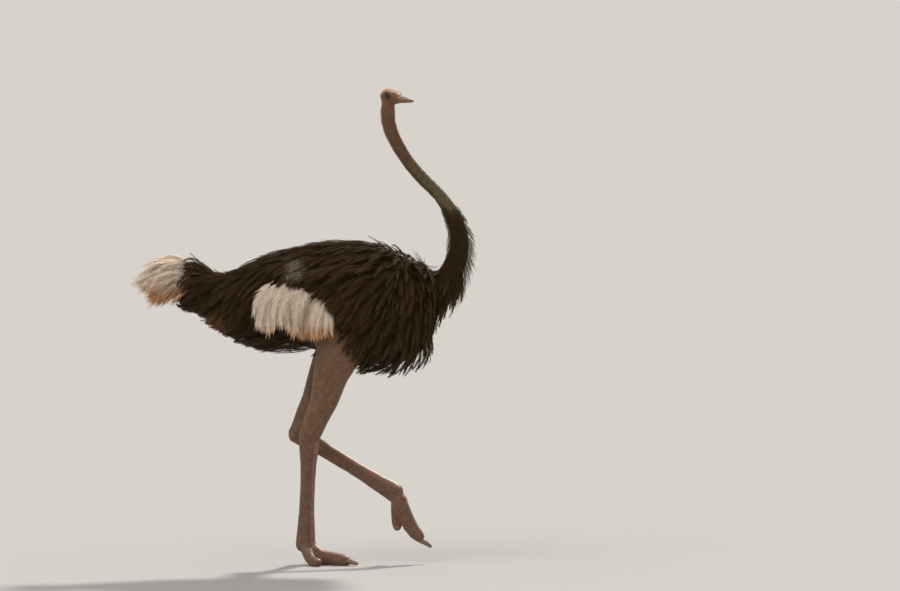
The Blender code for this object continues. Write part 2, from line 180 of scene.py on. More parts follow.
def noise(vector, scale, detail=3.0, roughness=0.55, stretch=None):
    """Noise of this many cells a metre, drawn out along an axis where stretch is given."""
    if stretch:
        vector = Shade(Shade.node("ShaderNodeMapping", _0=vector, Scale=stretch).outputs[0])
    made = Shade.node("ShaderNodeTexNoise", _0=vector, Scale=scale, Detail=detail, Roughness=roughness)
    return Shade(made.outputs[0])


def bump(surface, height, distance, strength=1.0):
    """Feeds a height in shares of this distance, in metres, to the surface's normal."""
    made = Shade.node("ShaderNodeBump", Strength=strength, Distance=distance, Height=height)
    Shade.tree.links.new(made.outputs[0], surface.inputs["Normal"])


SURROUND = np.array((0.68, 0.650, 0.605))  # light from every side, and the colour it shows
LAMPS = (
    # name, heading from the bird, height above the horizon, strength, softness, colour
    ("key", -125.0, 50.0, 1.0, 40.0, (1.0, 0.97, 0.93)),
    ("back", 66.0, 44.0, 3.6, 7.0, (1.0, 0.94, 0.84)),
)
lamp_light = np.zeros(3)
for lamp_name, heading, height, strength, softness, tint in LAMPS:
    lamp_data = bpy.data.lights.new(lamp_name, "SUN")
    lamp_data.energy = strength
    lamp_data.angle = math.radians(softness)
    lamp_data.color = tint
    lamp = put_in_scene(lamp_name, lamp_data)
    turn, lift = math.radians(heading), math.radians(height)
    towards = Vector((math.cos(turn) * math.cos(lift), math.sin(turn) * math.cos(lift), math.sin(lift)))
    lamp.rotation_euler = towards.to_track_quat("Z", "Y").to_euler()
    lamp_light += strength * math.sin(lift) / math.pi * np.array(tint)

world = bpy.data.worlds.new("surround")
world.use_nodes = True
world.node_tree.nodes["Background"].inputs["Color"].default_value = (*SURROUND, 1.0)
bpy.context.scene.world = world

FLOOR_SIZE = 40000.0
bpy.ops.mesh.primitive_plane_add(size=FLOOR_SIZE)
floor = bpy.context.object
floor.name = "floor"
floor_finish, floor_surface = finish_of("floor_paper", 1.0, Specular_IOR_Level=0.0)
floor_vector, _ = place_on_object()
paper = SURROUND / (SURROUND + lamp_light)  # lit, it looks just like the surround
floor_tone = noise(floor_vector, 1.5, 2.0).ramp(0.3, 0.7).colour(tuple(paper * 0.996), tuple(paper * 1.003))
Shade.feed(floor_surface.inputs["Base Color"], floor_tone)
floor.data.materials.append(floor_finish)

# ---------------------------------------------------------------------------------------------
# Skin: one unbroken hide over the whole bird. Under the plumage it lies deep inside the bird's
# outline; on the head, neck, thighs and feet it is the outline itself.
PLUMAGE_DEPTH = 0.033
NECK_DEPTH = (
    # heights up the neck, and how deep the hide lies there
    (1.18, 1.30, 1.40, 1.50, 1.57, 1.62),
    (0.024, 0.017, 0.011, 0.005, 0.001, 0.0),
)
BODY_GRAIN, SKIN_GRAIN = 0.011, 0.005
NECK_START = 0.3  # forward of the bird's middle: whatever is high and past it is neck or head
BARE_EDGE = (1.535, 1.59)  # heights between which the plumage gives way to bare neck
HANDS = {"left": 1.0, "right": -1.0}  # the bird's sides, and which way across it each lies
LEG_PARTS = ("thigh", "shank", "tarsus", "toe_inner", "toe_outer")
LEG_NODES = tuple(f"{part}_{side}" for side in HANDS for part in LEG_PARTS)
BODY_NODES = ("trunk", "wing_left", "wing_right", "tail_coverts", "thigh_left", "thigh_right")
NECK_NODES = ("neck_lower", "neck_middle")
BARE_NODES = ("neck_middle", "neck_upper", "head", *LEG_NODES)
EYE_NODES = ("eye_left", "eye_right")


def box_of(node):
    """The low and the high corner of a frame node's box."""
    return np.array(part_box(node))


def points_of(node):
    """The places of a frame node's vertices."""
    return np.array([vertex.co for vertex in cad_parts[node].data.vertices])


def copy_of(names, name, grow=0.0):
    """One object of merged copies of these frame nodes, each pushed out along its normals.

    grow is a distance, or a function that gives one for each place.
    """
    shape = bmesh.new()
    for node in names:
        part = bmesh.new()
        part.from_mesh(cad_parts[node].data)
        bmesh.ops.remove_doubles(part, verts=part.verts, dist=1e-5)
        part.normal_update()
        for vertex, normal in [(v, v.normal.copy()) for v in part.verts]:
            reach = grow(np.array([vertex.co]))[0] if callable(grow) else grow
            vertex.co += normal * reach
        joined = bpy.data.meshes.new(node)
        part.to_mesh(joined)
        part.free()
        shape.from_mesh(joined)
        bpy.data.meshes.remove(joined)
    mesh = bpy.data.meshes.new(name)
    shape.to_mesh(mesh)
    shape.free()
    return put_in_scene(name, mesh)


def use(obj):
    """Selects this object alone and makes it active."""
    bpy.ops.object.select_all(action="DESELECT")
    obj.select_set(True)
    bpy.context.view_layer.objects.active = obj


def apply_modifier(obj, kind, **settings):
    """Adds a modifier with these settings and applies it."""
    use(obj)
    step = obj.modifiers.new(kind.lower(), kind)
    for name, value in settings.items():
        setattr(step, name, value)
    bpy.ops.object.modifier_apply(modifier=step.name)


def remould(obj, grain, factor, rounds):
    """Makes one closed shape of the object, in cells of this grain, and smooths it."""
    apply_modifier(obj, "REMESH", mode="VOXEL", voxel_size=grain)
    apply_modifier(obj, "SMOOTH", factor=factor, iterations=rounds)


def read(rows, key, width=3, kind=np.float32):
    """One property of all of a mesh's vertices, edges or faces, as an array."""
    found = np.empty(len(rows) * width, kind)
    rows.foreach_get(key, found)
    return found.reshape(-1, width)


def places(obj):
    """The object's vertex places as an array."""
    return read(obj.data.vertices, "co").astype(float)


def normals(obj):
    """The object's vertex normals as an array."""
    return read(obj.data.vertex_normals, "vector").astype(float)


def set_places(obj, where):
    """Moves the object's vertices to these places."""
    obj.data.vertices.foreach_set("co", where.astype(np.float32).ravel())
    obj.data.update()


def relax(obj, share, rounds):
    """Evens out the mesh: each vertex moves by its share of the way to its neighbours' middle."""
    a, b = read(obj.data.edges, "vertices", 2, np.int32).T
    where = places(obj)
    total = len(where)
    count = np.bincount(a, minlength=total) + np.bincount(b, minlength=total)
    for _ in range(rounds):
        sums = [np.bincount(a, axis[b], total) + np.bincount(b, axis[a], total) for axis in where.T]
        where += (np.stack(sums, axis=1) / count[:, None] - where) * share[:, None]
    set_places(obj, where)


def soft_step(value, low, high):
    """0 below low and 1 above high, with soft ends. Low may be above high."""
    t = np.clip((value - low) / (high - low), 0.0, 1.0)
    return t * t * (3 - 2 * t)


def near(where, centre, radius):
    """1 at the centre and 0 from the radius on, softly. The radius may be one for each axis."""
    gap = np.linalg.norm((where - np.array(centre)) / np.array(radius), axis=1)
    return soft_step(gap, 1.0, 0.0)


def unit(rows):
    """The rows at length one."""
    return rows / np.maximum(np.linalg.norm(rows, axis=-1, keepdims=True), 1e-9)


def tree_of(obj):
    """A search tree of the object's faces."""
    corners = [tuple(spot) for spot in places(obj)]
    return BVHTree.FromPolygons(corners, [tuple(face.vertices) for face in obj.data.polygons])


def skin_depth(where):
    """How far the hide lies inside the bird's outline at these places."""
    along, _, height = where.T
    along_neck = np.interp(height, *NECK_DEPTH)
    on_neck = soft_step(along, 0.50, 0.58) * soft_step(height, 1.10, 1.20)
    tail = soft_step(along, -0.40, -0.52)
    breast = soft_step(along, 0.40, 0.56)
    high = (along > NECK_START) & (height > 1.45)
    withers = soft_step(along, 0.26, 0.38) * soft_step(height, 1.25, 1.33)
    keel = soft_step(along, 0.26, 0.38) * soft_step(height, 1.02, 0.94)
    on_body = PLUMAGE_DEPTH * (1 - 0.3 * tail - 0.10 * breast - 0.5 * withers - 0.45 * keel)
    return np.where(high, along_neck, on_body * (1 - on_neck) + along_neck * on_neck)


body_core = copy_of((*BODY_NODES, *NECK_NODES), "body_core", 0.0008)
remould(body_core, BODY_GRAIN, 0.6, 12)
SINKINGS = 4
sinking = skin_depth(places(body_core)) / SINKINGS
for _ in range(SINKINGS):
    set_places(body_core, places(body_core) - normals(body_core) * sinking[:, None])
    apply_modifier(body_core, "SMOOTH", factor=0.5, iterations=8)

leg_outline = copy_of(LEG_NODES, "leg_outline")
leg_tree = tree_of(leg_outline)
bpy.data.objects.remove(leg_outline)


def neck_growth(where):
    """Up the neck the bare copy is drawn in as the plumage needs, and elsewhere let out a little."""
    on_neck = (where[:, 0] > NECK_START) & (where[:, 2] > 1.45)
    return 0.0012 - np.where(on_neck, skin_depth(where), 0.0)


skin = copy_of((*BARE_NODES, *EYE_NODES), "skin", neck_growth)
use(skin)
body_core.select_set(True)
bpy.ops.object.join()
remould(skin, SKIN_GRAIN, 0.6, 6)


def leg_gap(where):
    """Distance from these places to the outline of the legs, or a metre above their reach."""
    gap = np.ones(len(where))
    for i in np.flatnonzero(where[:, 2] < 1.12):
        gap[i] = leg_tree.find_nearest(where[i])[3]
    return gap


where = places(skin)
gap = leg_gap(where)
bare_neck = (where[:, 0] > NECK_START) * soft_step(where[:, 2], *BARE_EDGE)
plumed = soft_step(gap, 0.006, 0.016) * (1 - bare_neck)
joint = np.zeros(len(where))
for side in HANDS:
    low, high = box_of(f"tarsus_{side}")
    toe_root = np.array((low[0] + high[0], low[1] + high[1], low[2] * 2)) / 2
    if side == "left":  # the swinging shin slopes, and its toes start at the front of its box
        toe_root[0] = high[0]
    low, high = box_of(f"claw_{side}")
    nail_root = np.array((low[0] + 0.006, (low[1] + high[1]) / 2, high[2] - 0.012))
    joint = np.maximum(joint, np.maximum(near(where, toe_root, 0.075), near(where, nail_root, 0.045)))
relax(skin, 0.5 * joint, 14)
relax(skin, 0.5 * plumed, 25)

hidden = skin.vertex_groups.new(name="hidden")
hidden.add([int(i) for i in np.flatnonzero(plumed > 0.9)], 1.0, "REPLACE")
THINNING = {"decimate_type": "COLLAPSE", "vertex_group": "hidden", "vertex_group_factor": 10.0}
apply_modifier(skin, "DECIMATE", ratio=0.50, **THINNING)

# The head is refined and shaped: brows, cheeks, ear openings, the line of the gape, and the lids.
EYE_RADII = np.array((0.0235, 0.0190, 0.0225))  # forward, sideways and upward
EYE_SPOT = np.array((0.054, 0.021, 0.010))  # from the top of the neck, on the head's own axes
TIP_DIP = math.radians(4.5)  # of the bill's tip, below the head's forward axis
eye_centres = {side: box_of(f"eye_{side}").mean(axis=0) for side in HANDS}
eye_middle = (eye_centres["left"] + eye_centres["right"]) / 2
head_left = unit(eye_centres["left"] - eye_centres["right"])
bill_points = points_of("bill_upper") - eye_middle
to_tip = bill_points[np.argmax(np.linalg.norm(bill_points, axis=1))]
to_tip = unit(to_tip - head_left * (to_tip @ head_left))
head_forward = to_tip * math.cos(TIP_DIP) + np.cross(to_tip, head_left) * math.sin(TIP_DIP)
head_up = np.cross(head_forward, head_left)
head_axes = np.stack([head_forward, head_left, head_up])


def on_head(where):
    """These places on the head's own axes."""
    return (where - eye_middle) @ head_axes.T + EYE_SPOT * (1, 0, 1)


def off_head(where):
    """Places given on the head's own axes, put back on the bird."""
    return (where - EYE_SPOT * (1, 0, 1)) @ head_axes + eye_middle


def beside_eyes(spot):
    """How far these places on the head lie from its eyes, seen from the side."""
    return np.hypot(spot[:, 0] - EYE_SPOT[0], spot[:, 2] - EYE_SPOT[2])


for eyes_only in (False, False, True):
    use(skin)
    bpy.ops.object.mode_set(mode="EDIT")
    bpy.ops.mesh.select_all(action="DESELECT")
    bpy.ops.mesh.select_mode(type="FACE")
    bpy.ops.object.mode_set(mode="OBJECT")
    spot = on_head(read(skin.data.polygons, "center"))
    beside_eye = beside_eyes(spot) < EYE_RADII[0] + 0.0005
    chosen = beside_eye & (np.abs(spot[:, 1]) > 0.012) if eyes_only else spot[:, 2] > -0.052
    skin.data.polygons.foreach_set("select", chosen)
    bpy.ops.object.mode_set(mode="EDIT")
    bpy.ops.mesh.subdivide(number_cuts=1, smoothness=0.0)
    bpy.ops.object.mode_set(mode="OBJECT")
relax(skin, 0.5 * soft_step(on_head(places(skin))[:, 2], -0.056, -0.046), 8)

where = places(skin)
spot = on_head(where)
spot[:, 1] = np.abs(spot[:, 1])
forward, aside, above = spot.T
GAPE = ((0.058, 0.070, 0.102), (-0.011, -0.006, 0.000))  # forward, and above the head's middle
EAR = (0.020, 0.029, -0.003)
off_gape = np.abs(above - np.interp(forward, *GAPE))
on_gape = soft_step(forward, 0.050, 0.062) * (forward < 0.106) * (aside > 0.006)
swell = (  # brow, cheek, the dip before the eye, the groove under it, the ear and the gape
    0.0022 * near(spot, (0.056, 0.028, 0.031), (0.026, 0.016, 0.009))
    + 0.0016 * near(spot, (0.046, 0.027, -0.022), (0.024, 0.016, 0.014))
    - 0.0024 * near(spot, (0.086, 0.022, 0.006), (0.014, 0.016, 0.010))
    - 0.0014 * near(spot, (0.060, 0.026, -0.012), (0.022, 0.016, 0.006))
    + 0.0014 * near(spot, EAR, 0.012)
    - 0.0062 * near(spot, EAR, 0.0062)
    - 0.0030 * on_gape * soft_step(off_gape, 0.0026, 0.0)
    + 0.0007 * on_gape * soft_step(np.abs(off_gape - 0.0035), 0.002, 0.0)
)
set_places(skin, where + normals(skin) * swell[:, None])

LID_OPENING = (0.0158, 0.0138)  # forward and upward


def ball_width(gap_x, gap_z):
    """How far out the eyeball's surface lies, this far forward of its middle and above it."""
    left = 1 - (gap_x / EYE_RADII[0]) ** 2 - (gap_z / EYE_RADII[2]) ** 2
    return EYE_SPOT[1] + EYE_RADII[1] * np.sqrt(np.clip(left, 0.0, 1.0))


def lid_share(gap_x, gap_z):
    """1 on the rim of the lids' opening, less inside it and more outside."""
    return np.sqrt((gap_x / LID_OPENING[0]) ** 2 + (gap_z / LID_OPENING[1]) ** 2)


where = places(skin)
spot = on_head(where)
hand = np.sign(spot[:, 1])
gap_x, gap_z = spot[:, 0] - EYE_SPOT[0], spot[:, 2] - EYE_SPOT[2]
opening = lid_share(gap_x, gap_z)
on_rim = (np.abs(opening - 1.0) < 0.026) & (np.abs(spot[:, 1]) > 0.008)
to_rim = np.where(on_rim, 1.0001 / np.maximum(opening, 0.5), 1.0)
gap_x, gap_z = gap_x * to_rim, gap_z * to_rim
spot[:, 0], spot[:, 2] = gap_x + EYE_SPOT[0], gap_z + EYE_SPOT[2]
ball = ball_width(gap_x, gap_z)
opening = lid_share(gap_x, gap_z)
lid_rim = ball + 0.0012 + 0.0006 * soft_step(np.abs(opening - 1.12), 0.14, 0.0)
lateral = np.where(opening < 1.0, ball - 0.0030, lid_rim)
beside = (np.abs(spot[:, 1]) > 0.008) * (spot[:, 2] > -0.03)
hold = soft_step(opening, 1.75, 1.15) * beside
crease = 0.0012 * soft_step(np.abs(opening - 1.40), 0.09, 0.0) * beside
width = np.maximum(np.abs(spot[:, 1]) * (1 - hold) + lateral * hold - crease, 0.0)
over_ball = (opening >= 1.0) * beside * (ball > EYE_SPOT[1] + 0.002)
width = np.where(over_ball, np.maximum(width, ball + 0.0008), width)
spot[:, 1] = hand * width
set_places(skin, off_head(spot))
relax(skin, 0.35 * soft_step(np.abs(opening - 1.22), 0.22, 0.14) * beside, 3)

# Folds round the neck and the uneven skin of thighs, hocks and shins are in the mesh too.
NECK_FOLDS, LEG_FOLDS = 0.0005, 0.0016
where = places(skin)
folds = np.zeros(len(where))
on_neck = (where[:, 0] > NECK_START) * soft_step(where[:, 2], 1.55, 1.62)
on_neck *= soft_step(on_head(where)[:, 2], -0.01, -0.05)
for i in np.flatnonzero(on_neck > 0):
    spot = Vector(where[i])
    wander = fractal(spot * 14, 1.0, 2.0, 3)
    ring = math.sin(spot.z * 360 + wander * 7 + spot.y * 25)
    folds[i] = on_neck[i] * NECK_FOLDS * (ring + 1.2 * wander)
gap = leg_gap(where)
for i in np.flatnonzero((gap < 0.010) & (where[:, 2] < 0.98)):
    spot = Vector(where[i])
    folds[i] = LEG_FOLDS * fractal(Vector((spot.x * 26, spot.y * 26, spot.z * 9)), 1.0, 2.0, 3)
where = where + normals(skin) * folds[:, None]
where[:, 2] = np.maximum(where[:, 2], 0.0)
set_places(skin, where)


def mark(mesh, name, values):
    """Keeps a value for each of the mesh's vertices, which its material reads."""
    mesh.attributes.new(name, "FLOAT", "POINT").data.foreach_set("value", values.astype(np.float32))


where = places(skin)
gap = leg_gap(where)
in_neck = where[:, 0] > NECK_START
bare_neck = in_neck * soft_step(where[:, 2], 1.525, 1.585)
blue_neck = in_neck * soft_step(where[:, 2], 1.50, 1.58) * soft_step(where[:, 2], 1.83, 1.66)
mark(skin.data, "plumed", soft_step(gap, 0.006, 0.020) * (1 - bare_neck))
mark(skin.data, "blue", blue_neck)
mark(skin.data, "leg", soft_step(gap, 0.020, 0.006))


def attribute(name):
    """The piece's own attribute of this name, as a value."""
    return Shade(Shade.node("ShaderNodeAttribute", {"attribute_name": name}).outputs["Fac"])


def voronoi(vector, scale, feature="DISTANCE_TO_EDGE"):
    """Cells of this many a metre: the distance to their edges unless another feature is named."""
    made = Shade.node("ShaderNodeTexVoronoi", {"feature": feature}, Vector=vector, Scale=scale)
    return Shade(made.outputs["Distance"])


BLACK_DARK, BLACK_BROWN = (0.0270, 0.0155, 0.0058), (0.079, 0.044, 0.0160)
STREAK_X, STREAK_Z, STREAK_REACH = 0.001, 1.347, 0.060  # middle of the grey streak, and its reach
STREAK_GREY = (0.270, 0.235, 0.165)
VENT_DARK, VENT_BROWN = (0.092, 0.042, 0.019), (0.220, 0.112, 0.052)


def plumage_colour(vector, x, z, tone):
    """The markings of the dark plumage, the same on the hide under it: brownish black, browner below
    the tail, with a faint grey streak where pale plumes show through above each white wing."""
    wisp = noise(vector, 70.0, 3.0, 0.6, (1.0, 1.0, 0.35)) * 0.075
    beside = Shade.maths("ABSOLUTE", x - STREAK_X + wisp)
    above = Shade.maths("ABSOLUTE", z - STREAK_Z + wisp)
    streak = beside.ramp(STREAK_REACH, 0.012) * above.ramp(STREAK_REACH, 0.012)
    streak = streak * tone.ramp(0.12, 0.55) * 0.85
    black = streak.colour(tone.colour(BLACK_DARK, BLACK_BROWN), STREAK_GREY)
    behind = (x + noise(vector, 9.0) * 0.08).ramp(-0.28, -0.37)
    vent = behind * (z + noise(vector, 7.0) * 0.08).ramp(1.17, 1.09)
    return vent.colour(black, tone.colour(VENT_DARK, VENT_BROWN))


hide, hide_surface = finish_of("hide", 0.5, Specular_IOR_Level=0.35)
vector, (x, y, z) = place_on_object()
leg, under_plumes, shin = attribute("leg"), attribute("plumed"), z.ramp(0.64, 0.54)
mottle = noise(vector, 45.0, 4.0).ramp(0.32, 0.68)
fine = noise(vector, 260.0, 3.0).ramp(0.30, 0.70)
seam = voronoi(vector, 165.0).ramp(0.0, 0.16)
# The bare neck outside the blue band, up to the face, is its skin's colour darkened with painted shade.
shaded_neck = mottle.colour((0.070, 0.0285, 0.0120), (0.116, 0.0485, 0.0205))
blue = mottle.colour((0.060, 0.050, 0.0195), (0.097, 0.077, 0.030))
face = mottle.colour((0.145, 0.056, 0.026), (0.228, 0.094, 0.046))
# The thighs and drumsticks are their skin's colour darkened with painted shade from the body above them, so
# they come out darker than the shins.
thigh = mottle.colour((0.135, 0.070, 0.036), (0.200, 0.110, 0.060))
scale = mottle.colour((0.172, 0.089, 0.056), (0.256, 0.138, 0.090))
shin_colour = seam.colour((0.088, 0.046, 0.029), scale)
neck_colour = z.ramp(1.955, 2.005).colour(attribute("blue").colour(shaded_neck, blue), face)
leg_colour = shin.colour(thigh, shin_colour)
crown = z.ramp(2.068, 2.096)
bare = leg.colour((crown * 0.7).colour(neck_colour, (0.36, 0.25, 0.18)), leg_colour)
bare = (fine * 0.35).colour(bare, (0.080, 0.043, 0.028))
base = under_plumes.colour(bare, plumage_colour(vector, x, z, mottle))
Shade.feed(hide_surface.inputs["Base Color"], base)
Shade.feed(hide_surface.inputs["Roughness"], (0.46 + fine * 0.22 + under_plumes).clamp())
wrinkle = noise(vector, 130.0, 4.0, 0.6, (1.0, 1.0, 2.4))
quill_bumps = voronoi(vector, 75.0, "F1").ramp(0.32, 0.10)
height = wrinkle * 0.6 + fine * 0.15 + leg * (shin * seam * 0.8 + (1 - shin) * quill_bumps * 0.5)
bump(hide_surface, height, 0.0012, 0.8)
skin.data.materials.clear()
skin.data.materials.append(hide)
skin.data.shade_smooth()
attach(skin, "root")
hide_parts(*BARE_NODES, "trunk", "wing_left", "wing_right", "neck_lower")

# ---------------------------------------------------------------------------------------------
# Eyes: dark balls behind the lids, a little flattened, each with a brown iris round a black pupil
# and a wet gloss over all.
eye_finish, eye_surface = finish_of("eye_wet", 0.09, Specular_IOR_Level=0.35)
gaze = attribute("gaze")
eye_vector, _ = place_on_object()
streaks = noise(eye_vector, 900.0, 2.0)
iris = (gaze + (streaks - 0.5) * 0.10).ramp(0.28, 0.60).colour((0.062, 0.027, 0.011), (0.020, 0.009, 0.005))
white = gaze.ramp(0.62, 0.68).colour(iris, (0.020, 0.013, 0.011))
Shade.feed(eye_surface.inputs["Base Color"], gaze.ramp(0.275, 0.305).colour((0.002, 0.002, 0.002), white))


def outward(shape, mesh):
    """Turns the shape's faces outwards, and makes it the mesh's."""
    bmesh.ops.recalc_face_normals(shape, faces=shape.faces)
    shape.to_mesh(mesh)
    shape.free()


for side, centre in eye_centres.items():
    bpy.ops.object.select_all(action="DESELECT")
    bpy.ops.mesh.primitive_uv_sphere_add(segments=64, ring_count=40, radius=1.0)
    eye = bpy.context.object
    eye.name = f"eyeball_{side}"
    ball = places(eye)
    off_axis = np.hypot(ball[:, 0], ball[:, 1])
    mark(eye.data, "gaze", np.where(ball[:, 2] > 0, off_axis, 1.0))
    cornea = 1 + 0.05 * soft_step(off_axis, 0.62, 0.45) * (ball[:, 2] > 0)
    ball = np.stack([ball[:, 0], ball[:, 2] * HANDS[side] * cornea, ball[:, 1]], axis=1) * EYE_RADII
    set_places(eye, ball @ head_axes + centre)
    shape = bmesh.new()
    shape.from_mesh(eye.data)
    outward(shape, eye.data)
    eye.data.shade_smooth()
    eye.data.materials.append(eye_finish)
    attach(eye, "root")
    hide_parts(f"eye_{side}")

# ---------------------------------------------------------------------------------------------
# Bill: two broad flat halves of horn with a nail at the tip of the upper one and long nostril
# slits. They run back a little way under the skin of the face.
BILL_ROOT, HORN_GRAIN = 0.009, 0.0009
NOSTRIL = (0.124, 0.0080)  # forward and aside on the head
horn, horn_surface = finish_of("horn", 0.5, Coat_Weight=0.04)
horn_vector, _ = place_on_object()
grown = noise(horn_vector, 95.0, 4.0, 0.6).ramp(0.30, 0.70)
grain = noise(horn_vector, 700.0, 2.0).ramp(0.3, 0.7)
horn_colour = grown.colour((0.150, 0.086, 0.052), (0.265, 0.168, 0.108))
Shade.feed(horn_surface.inputs["Base Color"], (grain * 0.4).colour(horn_colour, (0.10, 0.068, 0.050)))
Shade.feed(horn_surface.inputs["Roughness"], 0.46 + grown * 0.22)
bump(horn_surface, grown * 0.5 + grain * 0.5, 0.0003, 0.5)
for half in ("upper", "lower"):
    bill = copy_of((f"bill_{half}",), f"horn_bill_{half}")
    spot = on_head(places(bill))
    root = spot[:, 0] < spot[:, 0].min() + 0.002
    middle = spot[root].mean(axis=0)
    spot[root] = middle + (spot[root] - middle) * 0.90 - np.array((BILL_ROOT, 0, 0))
    set_places(bill, off_head(spot))
    remould(bill, HORN_GRAIN, 0.5, 6)
    spot = on_head(places(bill))
    facing = normals(bill) @ head_axes.T
    forward, aside = spot[:, 0], np.abs(spot[:, 1])
    slit = soft_step(np.abs(forward - NOSTRIL[0]), 0.0115, 0.0080)
    slit *= soft_step(np.abs(aside - NOSTRIL[1]), 0.0024, 0.0004)
    nail = soft_step(forward, 0.150, 0.154) * soft_step(aside, 0.0085, 0.0060)
    rings = np.sin(forward * 1400 + 3 * np.sin(aside * 300)) * 0.00004
    top = facing[:, 2] > 0.1
    swell = rings + (half == "upper") * top * (nail * 0.0007 - slit * 0.0022)
    edge = soft_step(np.abs(aside - 0.0125), 0.002, 0.0) * 0.0004
    set_places(bill, off_head(spot + facing * (swell + edge * top)[:, None]))
    bill.data.shade_smooth()
    bill.data.materials.append(horn)
    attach(bill, "root")
    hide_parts(f"bill_{half}")

# ---------------------------------------------------------------------------------------------
# Claws: the blunt nail that caps the end of each inner toe, with its root under the toe's skin. It
# is of the same horn as the bill and ridged along its length.
NAIL_GRAIN = 0.0012
for side in HANDS:
    claw = copy_of((f"claw_{side}",), f"nail_{side}")
    remould(claw, NAIL_GRAIN, 0.5, 8)
    spot = places(claw)
    ridges = np.sin(spot[:, 1] * 1500 + 2 * np.sin(spot[:, 0] * 60)) * 0.00020
    spot = spot + normals(claw) * (0.0004 + ridges)[:, None]
    spot[:, 2] = np.maximum(spot[:, 2], 0.0)
    set_places(claw, spot)
    claw.data.shade_smooth()
    claw.data.materials.append(horn)
    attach(claw, "root")
    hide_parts(f"claw_{side}")

# ---------------------------------------------------------------------------------------------
# Scutes: broad overlapping plates of hard skin down the front of each shin and along the top of
# each toe, each plate lapping over the next one down.
skin_tree = tree_of(skin)
scute_finish, scute_surface = finish_of("scutes", 0.42)
scute_vector, _ = place_on_object()
scute_mottle = noise(scute_vector, 70.0, 4.0).ramp(0.3, 0.7)
scute_fine = noise(scute_vector, 420.0, 3.0)
scute_colour = scute_mottle.colour((0.182, 0.094, 0.060), (0.292, 0.160, 0.106))
scute_colour = (scute_fine * 0.4).colour(scute_colour, (0.108, 0.056, 0.036))
Shade.feed(scute_surface.inputs["Base Color"], scute_colour)
Shade.feed(scute_surface.inputs["Roughness"], 0.38 + scute_fine * 0.25)
bump(scute_surface, scute_fine, 0.0006, 0.6)


ACROSS, DOWN = 9, 4  # the corners of a plate's grid
REACH = 0.09
PLATE_THICK, PLATE_LIFT = 0.0009, 0.0012


def plates(shape, start, end, front, count, spread, ends, girth=REACH):
    """Adds a row of lapping plates on the skin round the line from start to end, facing front.

    spread is half the angle that a plate covers, ends the shares of the line where the row starts and
    stops, and girth the furthest that the skin lies from the line.
    """
    axis = unit(end - start)
    front = unit(front - axis * (front @ axis))
    aside = np.cross(axis, front)
    length = np.linalg.norm(end - start)
    shares = np.linspace(*ends, count + 1)
    for top, bottom in zip(shares[:-1], shares[1:]):
        rows = []
        for down in np.linspace(0.0, 1.0, DOWN):
            share = top + (bottom - top) * (down * 1.28 - 0.05)
            line = []
            for across in np.linspace(-1.0, 1.0, ACROSS):
                bow = 0.10 * (1 - across**2) * (bottom - top)
                turn = across * spread * (1 - 0.16 * abs(2 * down - 1) ** 3)
                out = front * math.cos(turn) + aside * math.sin(turn)
                centre = start + axis * (share + bow) * length
                spot, normal, _, _ = skin_tree.ray_cast(Vector(centre + out * REACH), Vector(-out))
                if spot is None or (spot - Vector(centre)).length > girth:
                    break
                edge = (1 - abs(across) ** 4) * 0.8 + 0.2
                line.append(np.array(spot) + np.array(normal) * (0.0003 + PLATE_LIFT * down * edge))
            if len(line) == ACROSS:
                rows.append(line)
        if len(rows) < DOWN:
            continue
        outer = np.array(rows)
        if np.linalg.norm(np.diff(outer, axis=1), axis=2).max() > 0.02:
            continue
        slope = unit(np.cross(outer[:, 2:] - outer[:, :-2], (outer[-1] - outer[0])[None, 1:-1]))
        slope = np.concatenate([slope[:, :1], slope, slope[:, -1:]], axis=1)
        if (slope[1, ACROSS // 2] @ front) < 0:
            slope = -slope
        inner = outer - slope * (PLATE_THICK + PLATE_LIFT)
        outer, inner = (
            {(r, c): shape.verts.new(layer[r, c]) for r in range(DOWN) for c in range(ACROSS)}
            for layer in (outer, inner)
        )
        for r in range(DOWN - 1):
            for c in range(ACROSS - 1):
                square = [(r, c), (r, c + 1), (r + 1, c + 1), (r + 1, c)]
                shape.faces.new([outer[corner] for corner in square])
                shape.faces.new([inner[corner] for corner in square[:1] + square[:0:-1]])
        rim = [(0, c) for c in range(ACROSS)] + [(r, ACROSS - 1) for r in range(1, DOWN)]
        rim += [(DOWN - 1, c) for c in range(ACROSS - 2, -1, -1)] + [(r, 0) for r in range(DOWN - 2, 0, -1)]
        for one, two in zip(rim, rim[1:] + rim[:1]):
            shape.faces.new([outer[one], inner[one], inner[two], outer[two]])


def ends_of(node, towards):
    """The middles of the two ends of a long node, the far one lying towards this direction."""
    points = points_of(node)
    middle = points.mean(axis=0)
    axis = np.linalg.svd(points - middle, full_matrices=False)[2][0]
    axis = axis * np.sign(axis @ np.array(towards))
    along = (points - middle) @ axis
    near_end, far_end = along < along.min() + 0.02, along > along.max() - 0.02
    return points[near_end].mean(axis=0), points[far_end].mean(axis=0)


for side in HANDS:
    shape = bmesh.new()
    start, end = ends_of(f"tarsus_{side}", (0.3, 0.0, -1.0))
    plates(shape, start, end, np.array((1.0, 0.0, 0.5)), 34, 1.05, (0.10, 0.96))
    for toe, count, girth in (("inner", 20, 0.062), ("outer", 14, 0.042)):
        start, end = ends_of(f"toe_{toe}_{side}", (1.0, 0.0, -0.6))
        plates(shape, start, end, np.array((0.0, 0.0, 1.0)), count, 0.85, (0.16, 0.97), girth)
    mesh = bpy.data.meshes.new(f"scutes_{side}")
    outward(shape, mesh)
    scutes = put_in_scene(f"scutes_{side}", mesh)
    use(scutes)
    bpy.ops.object.shade_smooth_by_angle(angle=math.radians(50))
    scutes.data.materials.append(scute_finish)
    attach(scutes, "root")

